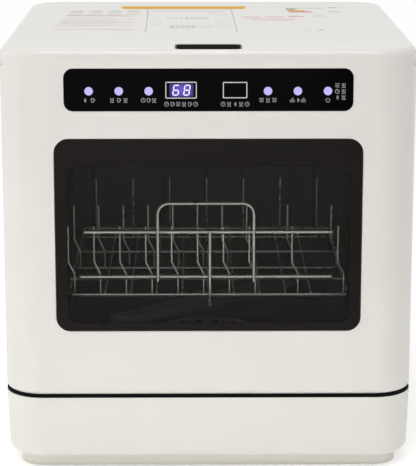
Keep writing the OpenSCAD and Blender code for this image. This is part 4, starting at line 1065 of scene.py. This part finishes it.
# %% Seal tree and seal
def sweep_tree(name, profile, material):
    """A tree that carries a closed profile along the loop it is given."""
    tree = bpy.data.node_groups.new(name, "GeometryNodeTree")
    face = tree.interface
    face.new_socket("Geometry", in_out="INPUT", socket_type="NodeSocketGeometry")
    face.new_socket("Profile Size", in_out="INPUT", socket_type="NodeSocketFloat").default_value = 1.0
    face.new_socket("Geometry", in_out="OUTPUT", socket_type="NodeSocketGeometry")
    start, end = tree.nodes.new("NodeGroupInput"), tree.nodes.new("NodeGroupOutput")
    loop = tree.nodes.new("GeometryNodeMeshToCurve")
    tree.links.new(start.outputs["Geometry"], loop.inputs["Mesh"])
    info = tree.nodes.new("GeometryNodeObjectInfo")
    info.inputs["Object"].default_value = profile
    section = tree.nodes.new("GeometryNodeMeshToCurve")
    tree.links.new(info.outputs["Geometry"], section.inputs["Mesh"])
    size = tree.nodes.new("GeometryNodeTransform")
    tree.links.new(section.outputs["Curve"], size.inputs["Geometry"])
    scale = tree.nodes.new("ShaderNodeCombineXYZ")
    for axis in "XYZ":
        tree.links.new(start.outputs["Profile Size"], scale.inputs[axis])
    tree.links.new(scale.outputs["Vector"], size.inputs["Scale"])
    sweep = tree.nodes.new("GeometryNodeCurveToMesh")
    tree.links.new(loop.outputs["Curve"], sweep.inputs["Curve"])
    tree.links.new(size.outputs["Geometry"], sweep.inputs["Profile Curve"])
    real = tree.nodes.new("GeometryNodeRealizeInstances")
    tree.links.new(sweep.outputs["Mesh"], real.inputs["Geometry"])
    paint = tree.nodes.new("GeometryNodeSetMaterial")
    paint.inputs["Material"].default_value = material
    tree.links.new(real.outputs["Geometry"], paint.inputs["Geometry"])
    tree.links.new(paint.outputs["Geometry"], end.inputs["Geometry"])
    return tree


def line_object(name, points):
    """A closed loop of edges."""
    data = bpy.data.meshes.new(name)
    count = len(points)
    data.from_pydata([tuple(p) for p in points], [(k, (k + 1) % count) for k in range(count)], [])
    return linked(name, data)


seal_low, seal_high = box_of("tub_gasket")
SEAL_W, CORNER, RIB_H = 6 * MM, 32 * MM, 0.9 * MM
seal_y = (seal_low.y + seal_high.y) / 2
half_x = (seal_high.x - seal_low.x) / 2 - SEAL_W / 2
half_z = (seal_high.z - seal_low.z) / 2 - SEAL_W / 2
centre_z = (seal_high.z + seal_low.z) / 2
loop_points = []
for k, (sx, sz) in enumerate(((1, 1), (-1, 1), (-1, -1), (1, -1))):
    turn_x, turn_z = sx * (half_x - CORNER), centre_z + sz * (half_z - CORNER)
    for x, z in arc(turn_x, turn_z, CORNER, 90 * k, 90 * k + 90, 10):
        loop_points.append((x, seal_y, z))
depth = seal_high.y - seal_low.y
ribs = 3
section = [(-SEAL_W / 2, -depth / 2), (SEAL_W / 2, -depth / 2)]
for k in range(ribs * 6 + 1):
    share = k / (ribs * 6)
    valley = 1 - abs(math.sin(math.pi * ribs * share))
    section.append((SEAL_W / 2 - SEAL_W * share, depth / 2 - RIB_H * valley))
seal_loop = line_object("seal_loop", loop_points)
seal_profile = line_object("seal_profile", [(x, y, 0) for x, y in section])
seal = settle(seal_loop, sweep_tree("sweep_seal", seal_profile, rubber_black), {}, "ribbed_seal", "cabinet")
print("seal with", len(seal.data.polygons), "faces")
drop(seal_loop, seal_profile)
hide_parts("tub_gasket")

# %% [markdown]
# ## The studio
# A pale floor and a bright, even sky of light suit a white appliance: its shape shows in the slow
# change of tone round its corners. Five area lamps give the satin skin its soft highlights: two
# overhead, one at the left, one low in front and a narrow one over the floor before the door. The
# camera was fitted to the machine's edges. It isn't exact: near the foot the outline lies 3 to 4
# pixels further in than it should, and a camera further away with more lens shift would fit better.

# %% Floor, light and camera
scene = bpy.context.scene
scene.view_settings.view_transform = "Standard"

FLOOR_LIFT = 0.38


def seen_by(tree):
    """1 for rays from the camera, from a mirror or through glass, and 0 for those that only light."""
    path = tree.nodes.new("ShaderNodeLightPath")
    direct = math_node(tree, "ADD", path.outputs["Is Camera Ray"], path.outputs["Is Glossy Ray"])
    return math_node(tree, "ADD", direct, path.outputs["Is Transmission Ray"], clamp=True)


floor_mesh = bpy.data.meshes.new("floor")
floor_mesh.from_pydata([(x, y, 0) for x, y in bar(-6, -6, 6, 6)], [], [(0, 1, 2, 3)])
floor = linked("floor", floor_mesh)
floor_finish, tree, shader, place = new_material("floor_finish")
tone = place_group(tree, drift, place, {"Cloud Scale": 2.0, "Speck Share": 0.1})
pale = blend_colours(tree, tone.outputs["Mask"], rgb(240, 240, 240), rgb(244, 244, 244))
tree.links.new(pale, shader.inputs["Base Color"])
shader.inputs["Roughness"].default_value = 0.6
seen_rays = seen_by(tree)
lift = tree.nodes.new("ShaderNodeEmission")
tree.links.new(math_node(tree, "MULTIPLY", seen_rays, FLOOR_LIFT), lift.inputs["Strength"])
total = tree.nodes.new("ShaderNodeAddShader")
tree.links.new(shader.outputs[0], total.inputs[0])
tree.links.new(lift.outputs[0], total.inputs[1])
tree.links.new(total.outputs[0], tree.nodes["Material Output"].inputs["Surface"])
floor_mesh.materials.append(floor_finish)

world = bpy.data.worlds.new("studio")
scene.world = world
world.use_nodes = True
sky = world.node_tree
background = sky.nodes["Background"]
background.inputs["Color"].default_value = (1, 1, 1, 1)
background.inputs["Strength"].default_value = 0.6
seen = sky.nodes.new("ShaderNodeBackground")
seen.inputs["Color"].default_value = (1, 1, 1, 1)
seen.inputs["Strength"].default_value = 1.0
choose = sky.nodes.new("ShaderNodeMixShader")
sky.links.new(seen_by(sky), choose.inputs["Fac"])
sky.links.new(background.outputs[0], choose.inputs[1])
sky.links.new(seen.outputs[0], choose.inputs[2])
sky.links.new(choose.outputs[0], sky.nodes["World Output"].inputs["Surface"])


def softbox(name, place, target, width, height, power):
    """An area lamp that looks at the target."""
    data = bpy.data.lights.new(name, "AREA")
    data.shape = "RECTANGLE"
    data.size, data.size_y, data.energy = width, height, power
    lamp = bpy.data.objects.new(name, data)
    scene.collection.objects.link(lamp)
    lamp.location = place
    lamp.rotation_euler = (Vector(target) - Vector(place)).to_track_quat("-Z", "Y").to_euler()
    return lamp


LAMPS = (("down_box", (-0.3, -1.0, 2.3), (-0.3, -1.0001, 0), 1.6, 1.2, 8.9),
         ("top_box", (-0.3, 0.2, 2.3), (-0.2, 0.1, 0.4), 1.6, 1.4, 1.6),
         ("left_box", (-2.4, -0.2, 0.9), (0, 0, 0.25), 1.2, 1.2, 8),
         ("low_box", (-0.5, -2.3, 0.16), (0, 0, 0), 1.6, 0.3, 2.8),
         ("floor_box", (-0.3, -0.45, 1.9), (-0.3, -0.5, 0), 1.2, 0.2, 2.2))
for lamp in LAMPS:
    floor_box = softbox(*lamp)
floor_box.data.spread = math.radians(20)

IMAGE_H = 466
FOCAL_PX, CENTRE_Y_PX = 1868.65, 195
CAMERA_AT = (-13.25 * MM, -2046.9 * MM, 688.25 * MM)
LOOK_DOWN, LOOK_RIGHT = math.radians(12.255), math.radians(0.398)
lens = bpy.data.cameras.new("photo_camera")
lens.sensor_width = 36
lens.lens = FOCAL_PX * lens.sensor_width / IMAGE_H
lens.shift_y = -(IMAGE_H / 2 - CENTRE_Y_PX) / IMAGE_H
camera = bpy.data.objects.new("photo_camera", lens)
scene.collection.objects.link(camera)
camera.location = CAMERA_AT
camera.rotation_euler = (math.pi / 2 - LOOK_DOWN, 0, -LOOK_RIGHT)
scene.camera = camera
print("camera", round(lens.lens, 2), "mm, shift", round(lens.shift_y, 4))
